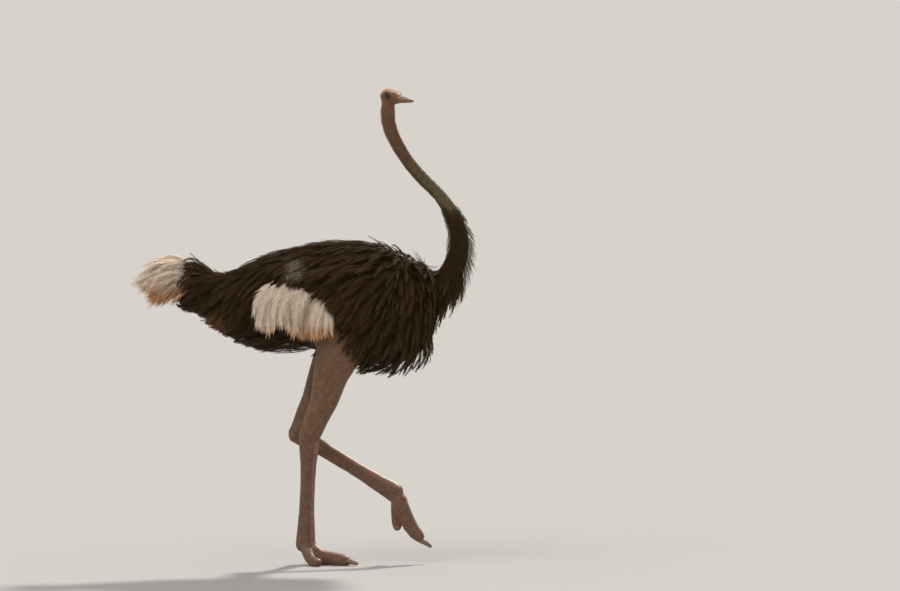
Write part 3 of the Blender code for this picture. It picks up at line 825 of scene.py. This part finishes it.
# ---------------------------------------------------------------------------------------------
# Body plumage: loose black plumes, each a quill with free barbs on both sides. They lie back and
# down over one another like thatch, and the lowest hang a little below the belly.
PATCH = 0.003  # of the bake map, to each lock
PLUME_SPACING = 0.0362
BODY_BARBS = 45  # pairs to a plume
SHORTEST = 0.040  # plume, where its end is cut back
BARB_GIRTH = 0.0018
ARCH = 4.0  # how far each plume's barbs hang at its sides, to the square of their reach
OVERHANG = 0.012  # of the black plumes' barbs past their quills
HANG = (
    # places along the bird, and how low the plumage hangs there
    (-0.45, -0.30, -0.15, 0.03, 0.06, 0.19, 0.235, 0.28, 0.44, 0.54, 0.60),
    (1.10, 1.01, 0.945, 0.922, 0.965, 0.965, 0.895, 0.858, 0.864, 0.897, 0.935),
)


def scatter(obj, wanted, spacing, seed):
    """Roots spread evenly over the object where wanted(places, normals) is above a random share."""
    rng = np.random.default_rng(seed)
    obj.data.calc_loop_triangles()
    corners = read(obj.data.loop_triangles, "vertices", 3, np.int32)
    where, facing = places(obj), normals(obj)
    a, b, c = (where[corners[:, k]] for k in range(3))
    area = np.linalg.norm(np.cross(b - a, c - a), axis=1) / 2
    area = area * (wanted((a + b + c) / 3, facing[corners[:, 0]]) > 0)
    count = int(5 * area.sum() / spacing**2)
    picked = rng.choice(len(corners), count, p=area / area.sum())
    first, second = rng.random((2, count, 1))
    flip = first + second > 1
    first, second = np.where(flip, 1 - first, first), np.where(flip, 1 - second, second)
    spots = a[picked] + (b - a)[picked] * first + (c - a)[picked] * second
    up = unit(facing[corners[picked]].mean(axis=1))
    kept, cells = [], {}
    nearby = [(i, j, k) for i in (-1, 0, 1) for j in (-1, 0, 1) for k in (-1, 0, 1)]
    for i in np.flatnonzero(rng.random(count) < wanted(spots, up)):
        cell = np.floor(spots[i] / spacing).astype(int)
        others = [spot for step in nearby for spot in cells.get(tuple(cell + step), ())]
        if others and (np.linalg.norm(np.array(others) - spots[i], axis=1) < spacing * 0.8).any():
            continue
        cells.setdefault(tuple(cell), []).append(spots[i])
        kept.append(i)
    return spots[kept], up[kept]


def laid(lie, up):
    """Directions made to lie along the surface."""
    return unit(lie - up * (lie * up).sum(axis=1, keepdims=True))


def quill_paths(roots, up, lie, length, lift, droop, stand, cling=0.8, steps=8):
    """Each quill's line: points from root to tip, and the side and upward directions there.

    It leaves at the lift angle, falls by droop, and is held between the hide and stand above it.
    cling from 0 to 1 says how firmly it is pulled back down to that height.
    """
    count = len(roots)
    heading = unit(lie * np.cos(lift)[:, None] + up * np.sin(lift)[:, None])
    step = (length / steps)[:, None]
    points, facing = np.empty((2, count, steps + 1, 3))
    points[:, 0], facing[:, 0] = roots, up
    for k in range(1, steps + 1):
        share = k / steps
        heading = unit(heading + np.array((0.0, 0.0, -1.0)) * (droop * share)[:, None] / steps)
        now = points[:, k - 1] + heading * step
        for i in range(count):
            spot, normal, _, _ = skin_tree.find_nearest(now[i])
            normal = np.array(normal)
            height = (now[i] - np.array(spot)) @ normal
            low, high = stand[i] * share * 0.55, stand[i] * (0.25 + 0.75 * share)
            if height < low:
                now[i] += normal * (low - height)
            elif height > high:
                now[i] -= normal * (height - high) * cling
            facing[i, k] = normal
        points[:, k] = now
        heading = unit(now - points[:, k - 1])
    along = unit(np.gradient(points, axis=1))
    side = unit(np.cross(along, facing))
    return points, side, unit(np.cross(side, along))


def barb_set(pairs, rng, first=0.06, angle=(62.0, 24.0), curl=0.45, spread=0.25, taper=0.45, stations=2):
    """The barbs of one plume: root shares along its quill, and each station's offset forward,
    sideways and upward in shares of the half width."""
    share = np.tile(np.linspace(first, 1.0, pairs) ** 0.95, 2) + rng.uniform(-0.012, 0.012, 2 * pairs)
    hand = np.repeat((-1.0, 1.0), pairs)
    reach = np.clip(share / 0.22, 0.3, 1.0) * (1 - taper * np.clip(share - 0.6, 0, 1) / 0.4)
    reach = reach * rng.uniform(1 - spread, 1 + spread * 0.6, 2 * pairs)
    start = np.radians(angle[0] + (angle[1] - angle[0]) * share + rng.normal(0, 6, 2 * pairs))
    along = np.linspace(0, 1, stations + 1)[None, :]
    turned = start[:, None] * (1 - curl * along * 0.7)
    step = np.diff(along, prepend=0.0)
    forward = np.cumsum(np.cos(turned) * step, axis=1) * reach[:, None]
    sideways = np.cumsum(np.sin(turned) * step, axis=1) * (reach * hand)[:, None]
    wave = rng.normal(0, 0.10, (2 * pairs, 1))
    upward = (wave * along + rng.normal(0.02, 0.05, (2 * pairs, 1)) * along**2) * reach[:, None]
    return share, forward, sideways, upward


def along_path(paths, share):
    """Places and directions at these shares of each quill, and past its tip in a straight line."""
    points = paths[0]
    steps = points.shape[1] - 1
    spot = np.clip(share, 0.0, 1.0) * steps
    low = np.minimum(spot.astype(int), steps - 1)
    part = (spot - low)[..., None]
    rows = np.arange(len(points))[:, None]
    last = (points[:, -1] - points[:, -2])[:, None, :]
    past = (np.maximum(share, 1.0) - 1.0)[..., None] * steps * last
    place, side, up = (line[rows, low] * (1 - part) + line[rows, low + 1] * part for line in paths)
    return place + past, unit(side), unit(up)


class Locks:
    """Gathers many thin three-sided locks and makes one mesh of them."""

    def __init__(self, unwrap):
        self.unwrap = unwrap
        self.verts, self.faces, self.tones, self.alongs, self.uvs = [], [], [], [], []
        self.count = 0

    def add(self, line, across, upward, girth, flatness, tone, along):
        """Locks along lines of shape (locks, stations, 3), each ending in a point.

        girth is the half width at each station, flatness the share of it in thickness, tone one value
        a lock, and along the share of its plume at each station.
        """
        locks, stations = line.shape[:2]
        turns = math.tau * np.array((0.0, 1.0, 2.0)) / 3 + math.pi / 2
        width = girth[:, :-1, None, None] * np.cos(turns)[:, None]
        height = girth[:, :-1, None, None] * np.sin(turns)[:, None] * flatness
        rings = line[:, :-1, None] + across[:, :-1, None] * width + upward[:, :-1, None] * height
        verts = np.concatenate([rings.reshape(locks, -1, 3), line[:, -1:]], axis=1)
        each = verts.shape[1]
        faces = []
        for one, two in ((0, 1), (1, 2), (2, 0)):
            for k in range(0, 3 * (stations - 2), 3):
                faces += [(k + one, k + two, k + two + 3), (k + one, k + two + 3, k + one + 3)]
            faces.append((each - 4 + one, each - 4 + two, each - 1))
        faces = np.array(faces)[None] + (self.count + np.arange(locks) * each)[:, None, None]
        self.verts.append(verts.reshape(-1, 3))
        self.faces.append(faces.reshape(-1, 3))
        self.tones.append(np.repeat(tone, each))
        spread = np.concatenate([np.repeat(along[:, :-1], 3, axis=1), along[:, -1:]], axis=1)
        self.alongs.append(spread.reshape(-1))
        patch = np.zeros((each, 2))
        patch[:-1, 0] = np.tile((-1.0, 0.0, 1.0), stations - 1)
        patch[:-1, 1] = np.repeat(np.linspace(-1.0, 0.6, stations - 1), 3)
        patch[-1, 1] = 1.0
        uv = self.unwrap(line[:, 0])[:, None, :] + patch[None] * PATCH / 2
        self.uvs.append(uv.reshape(-1, 2))
        self.count += locks * each

    def make(self, name, finish, slot_name, *nodes):
        """The finished piece on the bird."""
        verts, faces = np.concatenate(self.verts), np.concatenate(self.faces)
        mesh = bpy.data.meshes.new(name)
        mesh.vertices.add(len(verts))
        mesh.vertices.foreach_set("co", verts.astype(np.float32).ravel())
        mesh.loops.add(len(faces) * 3)
        mesh.loops.foreach_set("vertex_index", faces.astype(np.int32).ravel())
        mesh.polygons.add(len(faces))
        mesh.polygons.foreach_set("loop_start", np.arange(0, len(faces) * 3, 3, dtype=np.int32))
        mesh.update(calc_edges=True)
        mark(mesh, "tone", np.concatenate(self.tones))
        mark(mesh, "along", np.concatenate(self.alongs))
        uv = np.concatenate(self.uvs)[faces.ravel()]
        mesh.uv_layers.new(name="OFBake").data.foreach_set("uv", uv.astype(np.float32).ravel())
        mesh.shade_smooth()
        mesh.materials.append(finish)
        piece = put_in_scene(name, mesh)
        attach(piece, "root")
        if nodes:
            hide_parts(*nodes)


def plumes(coat, paths, length, half_width, rng, pairs, girth, kinds=6, quill=0.0011, stations=2, **shape):
    """Adds whole plumes on these paths: a quill each and its barbs, in a few kinds taken in turn."""
    tone = rng.random(len(length))
    for kind in range(kinds):
        rows = np.arange(kind, len(length), kinds)
        share, forward, sideways, upward = barb_set(pairs, rng, stations=stations, **shape)
        wide = half_width[rows][:, None, None]
        reach = share[None, :, None] + forward[None] * wide / length[rows][:, None, None]
        place, across, over = along_path([line[rows] for line in paths], reach.reshape(len(rows), -1))
        off = (sideways[None] * wide).reshape(len(rows), -1, 1)
        rise = (upward[None] * wide).reshape(len(rows), -1, 1) - off**2 * ARCH
        line = (place + across * off + over * rise).reshape(-1, stations + 1, 3)
        heading = unit(np.gradient(line, axis=1))
        wide_way = unit(np.cross(heading, over.reshape(line.shape)))
        thick = girth * np.linspace(1.0, 0.25, stations + 1) * rng.uniform(0.7, 1.3, (len(line), 1))
        shade = np.repeat(tone[rows], len(share)) * 0.6 + rng.random(len(line)) * 0.4
        along = np.clip(reach.reshape(-1, stations + 1), 0, 1)
        coat.add(line, wide_way, unit(np.cross(wide_way, heading)), thick, 0.35, shade, along)
    if quill:
        shares = np.broadcast_to(np.linspace(0.0, 1.0, 6), (len(length), 6))
        place, across, over = along_path(paths, shares)
        thick = quill * np.broadcast_to(np.linspace(1.0, 0.3, 6), shares.shape)
        coat.add(place, across, over, thick, 0.8, tone * 0.6 + 0.2, shares)


trunk_axis = box_of("trunk")[:, 2].mean()


def on_map(turn, along):
    """Places on the bake map, a little inside its edges."""
    return np.stack([0.02 + 0.96 * turn, 0.02 + 0.96 * along], axis=1)


def unwrap_body(where):
    """The body's unwrap: round its length by turn, and along it."""
    turn = np.arctan2(where[:, 1], where[:, 2] - trunk_axis) / math.tau + 0.5
    return on_map(turn, (where[:, 0] - cad_low.x) / (cad_high.x - cad_low.x))


white_outline = copy_of(("wing_plumes_left", "wing_plumes_right"), "white_outline", 0.002)
white_tree = tree_of(white_outline)
bpy.data.objects.remove(white_outline)


def on_white(where, facing):
    """Whether each place lies under a wing's white plumes, looking in from that side."""
    found = np.zeros(len(where), bool)
    for i in np.flatnonzero((np.abs(facing[:, 1]) > 0.15) & (np.abs(where[:, 0]) < 0.3)):
        hand = 1.0 if where[i, 1] > 0 else -1.0
        sideways = OVERHANG * (where[i, 0] > 0.06)
        start = Vector((where[i, 0] - sideways, hand, where[i, 2] - OVERHANG * (where[i, 2] > 1.12)))
        found[i] = white_tree.ray_cast(start, Vector((0.0, -hand, 0.0)))[0] is not None
    return found


def body_wanted(where, up):
    """Where the black body plumes grow."""
    x, _, z = where.T
    on_neck = (x > np.where(up[:, 0] < 0.0, 0.56, 0.50)) & (z > 1.31)
    high = (x > NECK_START) & (z > 1.5)
    return (leg_gap(where) > 0.015) * ~on_neck * ~high * ~on_white(where, up)


def body_lie(where, up, rng):
    """Which way the body plumes point: back along the spine, down the flanks and round the breast."""
    x, y, _ = where.T
    front, rear = soft_step(x, 0.28, 0.58), soft_step(x, -0.25, -0.45)
    down = (0.26 + 0.55 * np.abs(up[:, 1]) + 0.8 * front) * (1 - 0.75 * rear)
    aside = np.sign(y) * (0.22 * np.clip(up[:, 2], 0, 1) + 0.35 * front)
    lie = np.stack([-1.0 + 0.62 * front, aside, -down], axis=1)
    lie += rng.normal(0, 0.09, lie.shape)
    return laid(lie, up)


plume_rng = np.random.default_rng(11)
plume_black, black_surface = finish_of("plume_black", 0.6, Specular_IOR_Level=0.12)
black_vector, (x, y, z) = place_on_object()
tone, along = attribute("tone"), attribute("along")
black_tone = (tone * 0.7 + along * 0.35 + noise(black_vector, 6.0) * 0.4 - 0.3).clamp()
Shade.feed(black_surface.inputs["Base Color"], plumage_colour(black_vector, x, z, black_tone))
Shade.feed(black_surface.inputs["Roughness"], 0.66 + tone * 0.25)


def mantle_wanted(where, up):
    """The shoulders, the ridge of the back, the foot of the neck and the tail's root, where small
    plumes are set closely."""
    x, _, z = where.T
    shoulders = (x > 0.24) & (z > 1.16)
    ridge = (z > 1.25) & (up[:, 2] > 0.90)
    tail_root = (x < -0.37) & (up[:, 2] > 0.2)
    return body_wanted(where, up) * (shoulders | ridge | tail_root) * 1.0


big_roots, big_up = scatter(skin, body_wanted, PLUME_SPACING, 3)
small_roots, small_up = scatter(skin, mantle_wanted, PLUME_SPACING * 0.85, 4)
roots, up = np.concatenate([big_roots, small_roots]), np.concatenate([big_up, small_up])
lie = body_lie(roots, up, plume_rng)
count = len(roots)
small = np.arange(count) >= len(big_roots)
x, _, z = roots.T
_, up_y, up_z = up.T
fore, aft = soft_step(x, 0.25, 0.60), soft_step(x, -0.33, -0.45)
low_breast = soft_step(x, 0.32, 0.48) * soft_step(z, 1.04, 0.94) * soft_step(np.abs(up_y), 0.95, 0.65)
knob = aft * soft_step(up_z, 0.1, 0.6)
withers = soft_step(x, 0.30, 0.45) * soft_step(x, 0.57, 0.53) * soft_step(up_z, 0.35, 0.75) * (z > 1.22)
size = plume_rng.uniform(0.85, 1.15, count) * np.where(small, 0.62, 1.0)
length = (0.205 - 0.085 * fore - 0.075 * aft + 0.030 * low_breast) * size
half_width = (0.042 - 0.010 * fore - 0.008 * aft) * size
habit = {
    "lift": np.radians(plume_rng.uniform(14, 26, count) + 7 * knob + 10 * low_breast),
    "droop": plume_rng.uniform(0.5, 1.3, count),
    "cling": 0.93,
    "stand": (
        (0.053 + 0.006 * fore + 0.017 * knob + 0.013 * low_breast + 0.005 * withers)
        * (1 - 0.27 * np.abs(up_y) ** 2)
        * plume_rng.uniform(0.80, 1.06, count)
    ),
}
paths = quill_paths(roots, up, lie, length, **habit)
every = paths[0].reshape(-1, 3)
covered = on_white(every, paths[2].reshape(-1, 3)) | (every[:, 2] < np.interp(every[:, 0], *HANG))
covered = covered.reshape(count, -1)
stations = covered.shape[1]
first_over = np.where(covered.any(axis=1), covered.argmax(axis=1), stations)
trimmed = np.maximum(length * np.clip((first_over - 0.2) / (stations - 1), 0.0, 1.0), SHORTEST)
half_width *= np.clip(trimmed / length * 1.4, 0.45, 1.0)
length = trimmed
paths = quill_paths(roots, up, lie, length, **habit)
level, high = np.abs(up_y) < 0.50, z >= 1.1
places_on_body = {
    "shoulders": level & high & (x > 0.05),
    "back": level & high & (x <= 0.05),
    "under": level & ~high,
}
for side, hand in HANDS.items():
    on_side = ~level & (up_y * hand > 0)
    places_on_body[f"breast_{side}"] = on_side & (x > 0.22)
    places_on_body[f"flank_{side}"] = on_side & (x <= 0.22)
for name, there in places_on_body.items():
    coat = Locks(unwrap_body)
    chosen = [line[there] for line in paths]
    plumes(coat, chosen, length[there], half_width[there], plume_rng, BODY_BARBS, BARB_GIRTH)
    coat.make(f"plumage_{name}", plume_black, "black_plumage")

# ---------------------------------------------------------------------------------------------
# Wing plumes: the loose white quills of each folded wing, which hang from under the black coverts
# in curling sprays, buff towards their ends.
WING_QUILLS, WING_BARBS = 60, 52
LOOSE = {"stations": 3, "angle": (58.0, 20.0), "curl": 0.9, "spread": 0.3}  # habit of the white barbs
ROOT_LINE = (
    # from the rear quill to the front one, and their roots in shares of the patch's length and height
    (0.0, 0.30, 0.60, 1.0),
    (0.20, 0.43, 0.76, 1.05),
    (1.06, 1.11, 0.88, 0.60),
)
TIP_LINE = (
    (0.0, 0.12, 0.22, 0.30, 0.40, 0.50, 0.65, 0.85, 1.0),
    (0.01, 0.05, 0.12, 0.22, 0.35, 0.46, 0.62, 0.83, 1.03),
    (0.62, 0.32, 0.21, 0.34, 0.36, 0.22, 0.13, 0.15, 0.36),
)


def swept_paths(roots, tips, start, end, out, bow=0.35, steps=8):
    """Quills as smooth sweeps from roots to tips, leaving along start and arriving along end."""
    t = np.linspace(0, 1, steps + 1)[None, :, None]
    reach = np.linalg.norm(tips - roots, axis=1)[:, None, None]
    near_end = roots[:, None] + start[:, None] * reach * bow
    far_end = tips[:, None] - end[:, None] * reach * bow
    points = roots[:, None] * (1 - t) ** 3 + 3 * near_end * t * (1 - t) ** 2
    points = points + 3 * far_end * t**2 * (1 - t) + tips[:, None] * t**3
    along = unit(np.gradient(points, axis=1))
    side = unit(np.cross(along, np.broadcast_to(out[:, None], along.shape)))
    return points, side, unit(np.cross(side, along))


def length_of(paths):
    """The length of each quill."""
    return np.linalg.norm(np.diff(paths[0], axis=1), axis=2).sum(axis=1)


plume_white, white_surface = finish_of("plume_white", 0.62)
white_vector, (x, y, z) = place_on_object()
tone, along = attribute("tone"), attribute("along")
clean = tone.colour((0.74, 0.610, 0.485), (0.92, 0.800, 0.670))
stained = tone.colour((0.54, 0.270, 0.110), (0.75, 0.425, 0.210))
low_tail = x.ramp(-0.44, -0.52) * (z + noise(white_vector, 16.0) * 0.10).ramp(1.31, 1.22)
low_wing = x.ramp(-0.40, -0.30) * (z + noise(white_vector, 18.0) * 0.08 - x * 0.10).ramp(1.14, 1.04)
stain = (low_tail * 1.0 + low_wing * 0.80 + along * along * 0.12 - 0.04).clamp()
Shade.feed(white_surface.inputs["Base Color"], stain.colour(clean, stained))
Shade.feed(white_surface.inputs["Roughness"], 0.52 + tone * 0.2)

white_rng = np.random.default_rng(23)
for side, hand in HANDS.items():
    low, high = box_of(f"wing_plumes_{side}")
    order = np.sort(white_rng.random(WING_QUILLS))
    layer = np.resize((0.0, 0.5, 1.0), WING_QUILLS)
    spots = []
    for line, shrink in ((ROOT_LINE, 0.0), (TIP_LINE, 0.16)):
        share = np.stack([np.interp(order, line[0], shares) for shares in line[1:]], axis=1)
        share += white_rng.normal(0, 0.03, share.shape)
        inward = shrink * layer[:, None] * white_rng.random((WING_QUILLS, 1))
        share = share + inward * (np.array((0.5, 0.6)) - share)
        spot = low + np.insert(share, 1, 0.0, axis=1) * (high - low)
        for row in spot:
            toward = Vector((row[0], hand, row[2]))
            hit = white_tree.ray_cast(toward, Vector((0.0, -hand, 0.0)))[0]
            if hit is None:
                hit = white_tree.find_nearest(Vector((row[0], hand * 0.25, row[2])))[0]
            row[1] = hit.y
        spots.append(spot)
    roots, tips = spots
    roots[:, 1] -= hand * (0.020 + 0.012 * layer)
    tips[:, 1] -= hand * (0.006 + 0.020 * layer)
    start = unit(np.stack([-0.75 + 0 * order, 0 * order + hand * 0.25, -0.55 + 0 * order], axis=1))
    end = unit(np.stack([-0.25 + 0.4 * order, 0 * order - hand * 0.25, -1.0 + 0 * order], axis=1))
    start += white_rng.normal(0, 0.08, start.shape)
    end += white_rng.normal(0, 0.15, end.shape)
    out = np.tile((0.0, hand, 0.12), (WING_QUILLS, 1)) + white_rng.normal(0, 0.12, (WING_QUILLS, 3))
    paths = swept_paths(roots, tips, unit(start), unit(end), unit(out))
    length = length_of(paths)
    coat = Locks(unwrap_body)
    half_width = np.clip(length * 0.27, 0.026, 0.048) * white_rng.uniform(0.85, 1.15, WING_QUILLS)
    habit = {**LOOSE, "taper": 0.25, "first": 0.10}
    plumes(coat, paths, length, half_width, white_rng, WING_BARBS, 0.0016, **habit)
    coat.make(f"white_wing_{side}", plume_white, "white_plumes", f"wing_plumes_{side}")

# ---------------------------------------------------------------------------------------------
# Tail plumes: a loose round bunch of white quills that spring from the tail's black coverts and
# curl over at their ends, brownish underneath.
TAIL_SPACING, TAIL_BARBS = 0.0265, 40
tail_outline = copy_of(("tail_plumes",), "tail_outline")
remould(tail_outline, 0.010, 0.6, 4)
low, high = box_of("tail_plumes")
tail_rng = np.random.default_rng(31)


def tail_tips_wanted(where, up):
    """Tips are spread over the rear of the bunch and along under it."""
    share = (where[:, 0] - low[0]) / (high[0] - low[0])
    return (share < np.where(up[:, 2] < -0.2, 0.90, 0.62)) * 1.0


tips, tip_up = scatter(tail_outline, tail_tips_wanted, TAIL_SPACING, 5)
bpy.data.objects.remove(tail_outline)
count = len(tips)
root_middle = np.array((high[0] + 0.040, 0.0, low[2] + 0.56 * (high[2] - low[2])))
swell = np.array((0.02, 0.055, 0.062))
from_middle = swell * (tips - (low + high) / 2) / ((high - low) / 2)
roots = root_middle + from_middle * tail_rng.uniform(0.4, 1.0, (count, 1))
depth = tail_rng.choice((0.0, 0.012, 0.030), count)[:, None]
tips = tips - tip_up * (depth - 0.004)
start = unit(np.array((-1.0, 0.0, 0.25)) + 0.9 * unit(tips - roots - np.array((-0.1, 0, 0))) * (0, 1, 0.6))
end = unit(unit(tips - roots) + np.array((-0.15, 0.0, -0.75)) + tail_rng.normal(0, 0.2, (count, 3)))
out = unit(tip_up + np.array((0.0, 0.0, 0.25)) + tail_rng.normal(0, 0.15, (count, 3)))
paths = swept_paths(roots, tips, start, end, out, bow=0.40)
length = length_of(paths)
half_width = np.clip(length * 0.28, 0.032, 0.048) * tail_rng.uniform(0.85, 1.15, count)
coat = Locks(unwrap_body)
plumes(coat, paths, length, half_width, tail_rng, TAIL_BARBS, 0.0019, **LOOSE, taper=0.2, first=0.15)
coat.make("white_tail", plume_white, "white_plumes", "tail_plumes", "tail_coverts")

# ---------------------------------------------------------------------------------------------
# Neck plumage: small soft black feathers round the lower neck, shorter and thinner upwards, which
# end in a ragged edge where the bare skin starts.
NECK_SPACING, NECK_BARBS = 0.0090, 6
neck_heights = np.linspace(1.12, 2.04, 24)
neck_surface = places(skin)
neck_surface = neck_surface[(neck_surface[:, 0] > 0.33) & (neck_surface[:, 2] > 1.1)]
neck_middles = []
for height in neck_heights:
    ring = neck_surface[np.abs(neck_surface[:, 2] - height) < 0.012]
    ring = ring[ring[:, 0] > ring[:, 0].max() - 0.16]
    neck_middles.append((ring[:, 0].min() + ring[:, 0].max()) / 2)
neck_middles = np.array(neck_middles)


def neck_middle(height):
    """The neck's middle, from front to back, at these heights."""
    return np.interp(height, neck_heights, neck_middles)


def unwrap_neck(where):
    """The neck's unwrap: round it by turn, and up it."""
    x, y, z = where.T
    turn = np.arctan2(y, x - neck_middle(z)) / math.tau + 0.5
    return on_map(turn, (z - 1.05) / (cad_high.z + 0.02 - 1.05))


def neck_wanted(where, up):
    """Where the neck is feathered, thinning out at its upper edge."""
    x, y, z = where.T
    base = (x > np.where(up[:, 0] < 0.0, 0.54, 0.50)) * (z > 1.22)
    edge = z + 0.012 * np.sin(y * 90) + 0.010 * np.sin(x * 130)
    return base * soft_step(edge, 1.590, 1.535)


def down_neck(where, up, rng, jitter):
    """Directions down the neck, jittered a little."""
    z = where[:, 2]
    slope = (neck_middle(z - 0.02) - neck_middle(z + 0.02)) / 0.04
    lie = np.stack([slope, 0 * slope, -1.0 + 0 * slope], axis=1)
    return laid(unit(lie) + rng.normal(0, jitter, lie.shape), up)


neck_rng = np.random.default_rng(41)
roots, up = scatter(skin, neck_wanted, NECK_SPACING, 7)
count = len(roots)
rise = soft_step(roots[:, 2], 1.28, 1.58)
length = (0.075 - 0.046 * rise) * neck_rng.uniform(0.8, 1.2, count)
half_width = length * (0.24 + 0.06 * rise)
front = np.clip(up[:, 0], 0, 1) * soft_step(roots[:, 2], 1.58, 1.48)
nape_foot = soft_step(up[:, 0], 0.1, -0.4) * soft_step(roots[:, 2], 1.46, 1.36)
length *= 1 - 0.40 * nape_foot
lie = down_neck(roots, up, neck_rng, 0.12)
lift = np.radians(neck_rng.uniform(16, 30, count) + 10 * front - 12 * nape_foot)
stand_off = 0.042 - 0.033 * rise + 0.012 * front - 0.022 * nape_foot
stand_off *= neck_rng.uniform(0.7, 1.05, count)
paths = quill_paths(roots, up, lie, length, lift, np.zeros(count), stand_off, steps=4)
coat = Locks(unwrap_neck)
habit = {"kinds": 8, "quill": None, "angle": (40.0, 14.0), "first": 0.02}
plumes(coat, paths, length, half_width, neck_rng, NECK_BARBS, 0.0016, **habit)
coat.make("neck_feathers", plume_black, "black_down")

# ---------------------------------------------------------------------------------------------
# Down: short pale hairs that stand a little off the bare neck, the crown and the nape. They thin
# out to nothing round the eyes and the bill.
DOWN_SPACING = 0.0021
down_finish, down_surface = finish_of("down_pale", 0.7)
_, (x, y, z) = place_on_object()
tone, along = attribute("tone"), attribute("along")
neck_down = (tone * 0.8 + along * 0.3).clamp().colour((0.138, 0.068, 0.033), (0.500, 0.320, 0.180))
crown_down = (tone * 0.5 + 0.5).colour((0.38, 0.245, 0.155), (0.90, 0.69, 0.51))
Shade.feed(down_surface.inputs["Base Color"], z.ramp(2.068, 2.096).colour(neck_down, crown_down))


def down_wanted(where, up):
    """Where the pale down grows, thickest on the nape and the crown."""
    spot = on_head(where)
    neck = (where[:, 0] > 0.33) * soft_step(where[:, 2], 1.53, 1.60)
    eye_clear = soft_step(beside_eyes(spot), 0.022, 0.030)
    beside = (np.abs(spot[:, 1]) > 0.010) & (spot[:, 0] > 0.02)
    return neck * np.where(beside, eye_clear, 1.0) * soft_step(spot[:, 0], 0.094, 0.070)


def bristles(coat, line, across, upward, girth, flatness, rng):
    """Adds single hairs on lines of three places, each of one tone."""
    across, upward = np.broadcast_to(across, line.shape), np.broadcast_to(upward, line.shape)
    shares = np.tile((0.0, 0.5, 1.0), (len(line), 1))
    coat.add(line, across, upward, girth, flatness, rng.random(len(line)), shares)


down_rng = np.random.default_rng(53)
roots, up = scatter(skin, down_wanted, DOWN_SPACING, 9)
count = len(roots)
spot = on_head(roots)
on_crown = soft_step(spot[:, 2], 0.0, 0.02) * (spot[:, 0] < 0.10)
in_head = soft_step(spot[:, 2], -0.050, -0.030)
back_lie = laid(-head_forward - 0.35 * head_up + down_rng.normal(0, 0.25, (count, 3)), up)
neck_lie = down_neck(roots, up, down_rng, 0.25)
lie = unit(back_lie * in_head[:, None] + neck_lie * (1 - in_head[:, None]))
length = (0.013 - 0.006 * in_head + 0.004 * on_crown) * down_rng.uniform(0.6, 1.3, count)
length *= 1 - 0.45 * soft_step(spot[:, 0], 0.03, 0.08)
lift = np.radians(down_rng.uniform(18, 50, count))[:, None]
tip_way = unit(lie * np.cos(lift * 0.7) + up * np.sin(lift * 0.7))
middle = roots + unit(lie * np.cos(lift) + up * np.sin(lift)) * length[:, None] * 0.5
line = np.stack([roots - up * 0.0006, middle, middle + tip_way * length[:, None] * 0.5], axis=1)
girth = np.array((0.00042, 0.00032, 0.0)) * down_rng.uniform(0.7, 1.3, (count, 1))
girth = girth * (1 - 0.35 * in_head[:, None])
coat = Locks(unwrap_neck)
bristles(coat, line, unit(np.cross(lie, up))[:, None], up[:, None], girth, 0.8, down_rng)
coat.make("down", down_finish, "neck_skin")

# ---------------------------------------------------------------------------------------------
# Lashes: stiff black bristles along the upper lid of each eye, longest at the middle. Each is one
# tapering hair with its end curled up.
LASHES = 34
lash_finish, lash_surface = finish_of("lash_black", 0.45)
lash_tone = attribute("tone")
Shade.feed(lash_surface.inputs["Base Color"], lash_tone.colour((0.006, 0.005, 0.004), (0.022, 0.016, 0.012)))
lash_rng = np.random.default_rng(61)
coat = Locks(unwrap_neck)
for hand in HANDS.values():
    turn = np.radians(np.linspace(12, 168, LASHES) + lash_rng.normal(0, 1.5, LASHES))
    gap_x, gap_z = LID_OPENING[0] * 1.06 * np.cos(turn), LID_OPENING[1] * 1.06 * np.sin(turn)
    out = hand * (ball_width(gap_x, gap_z) + 0.0008)
    root = np.stack([EYE_SPOT[0] + gap_x, out, EYE_SPOT[2] + gap_z], axis=1)
    size = (0.0065 + 0.0045 * np.sin(turn)) * lash_rng.uniform(0.85, 1.1, LASHES)
    away = unit(np.stack([0.5 * np.cos(turn) + 0.25, hand * 0.9 + 0 * turn, 0.35 * np.sin(turn)], axis=1))
    curled = unit(away + np.array((0.0, 0.0, 0.9)))
    middle = root + away * size[:, None] * 0.55
    line = np.stack([root - away * 0.001, middle, middle + curled * size[:, None] * 0.5], axis=1)
    girth = np.tile((0.00042, 0.00030, 0.0), (LASHES, 1))
    bristles(coat, off_head(line), head_forward, head_up, girth, 1.0, lash_rng)
coat.make("lashes", lash_finish, "black_down")

# ---------------------------------------------------------------------------------------------
# Hide under the coat: the coat is laid by now and hides it, so there it is made of fewer, larger
# faces. The bare parts stay as they are.
apply_modifier(skin, "DECIMATE", ratio=0.94, **THINNING)
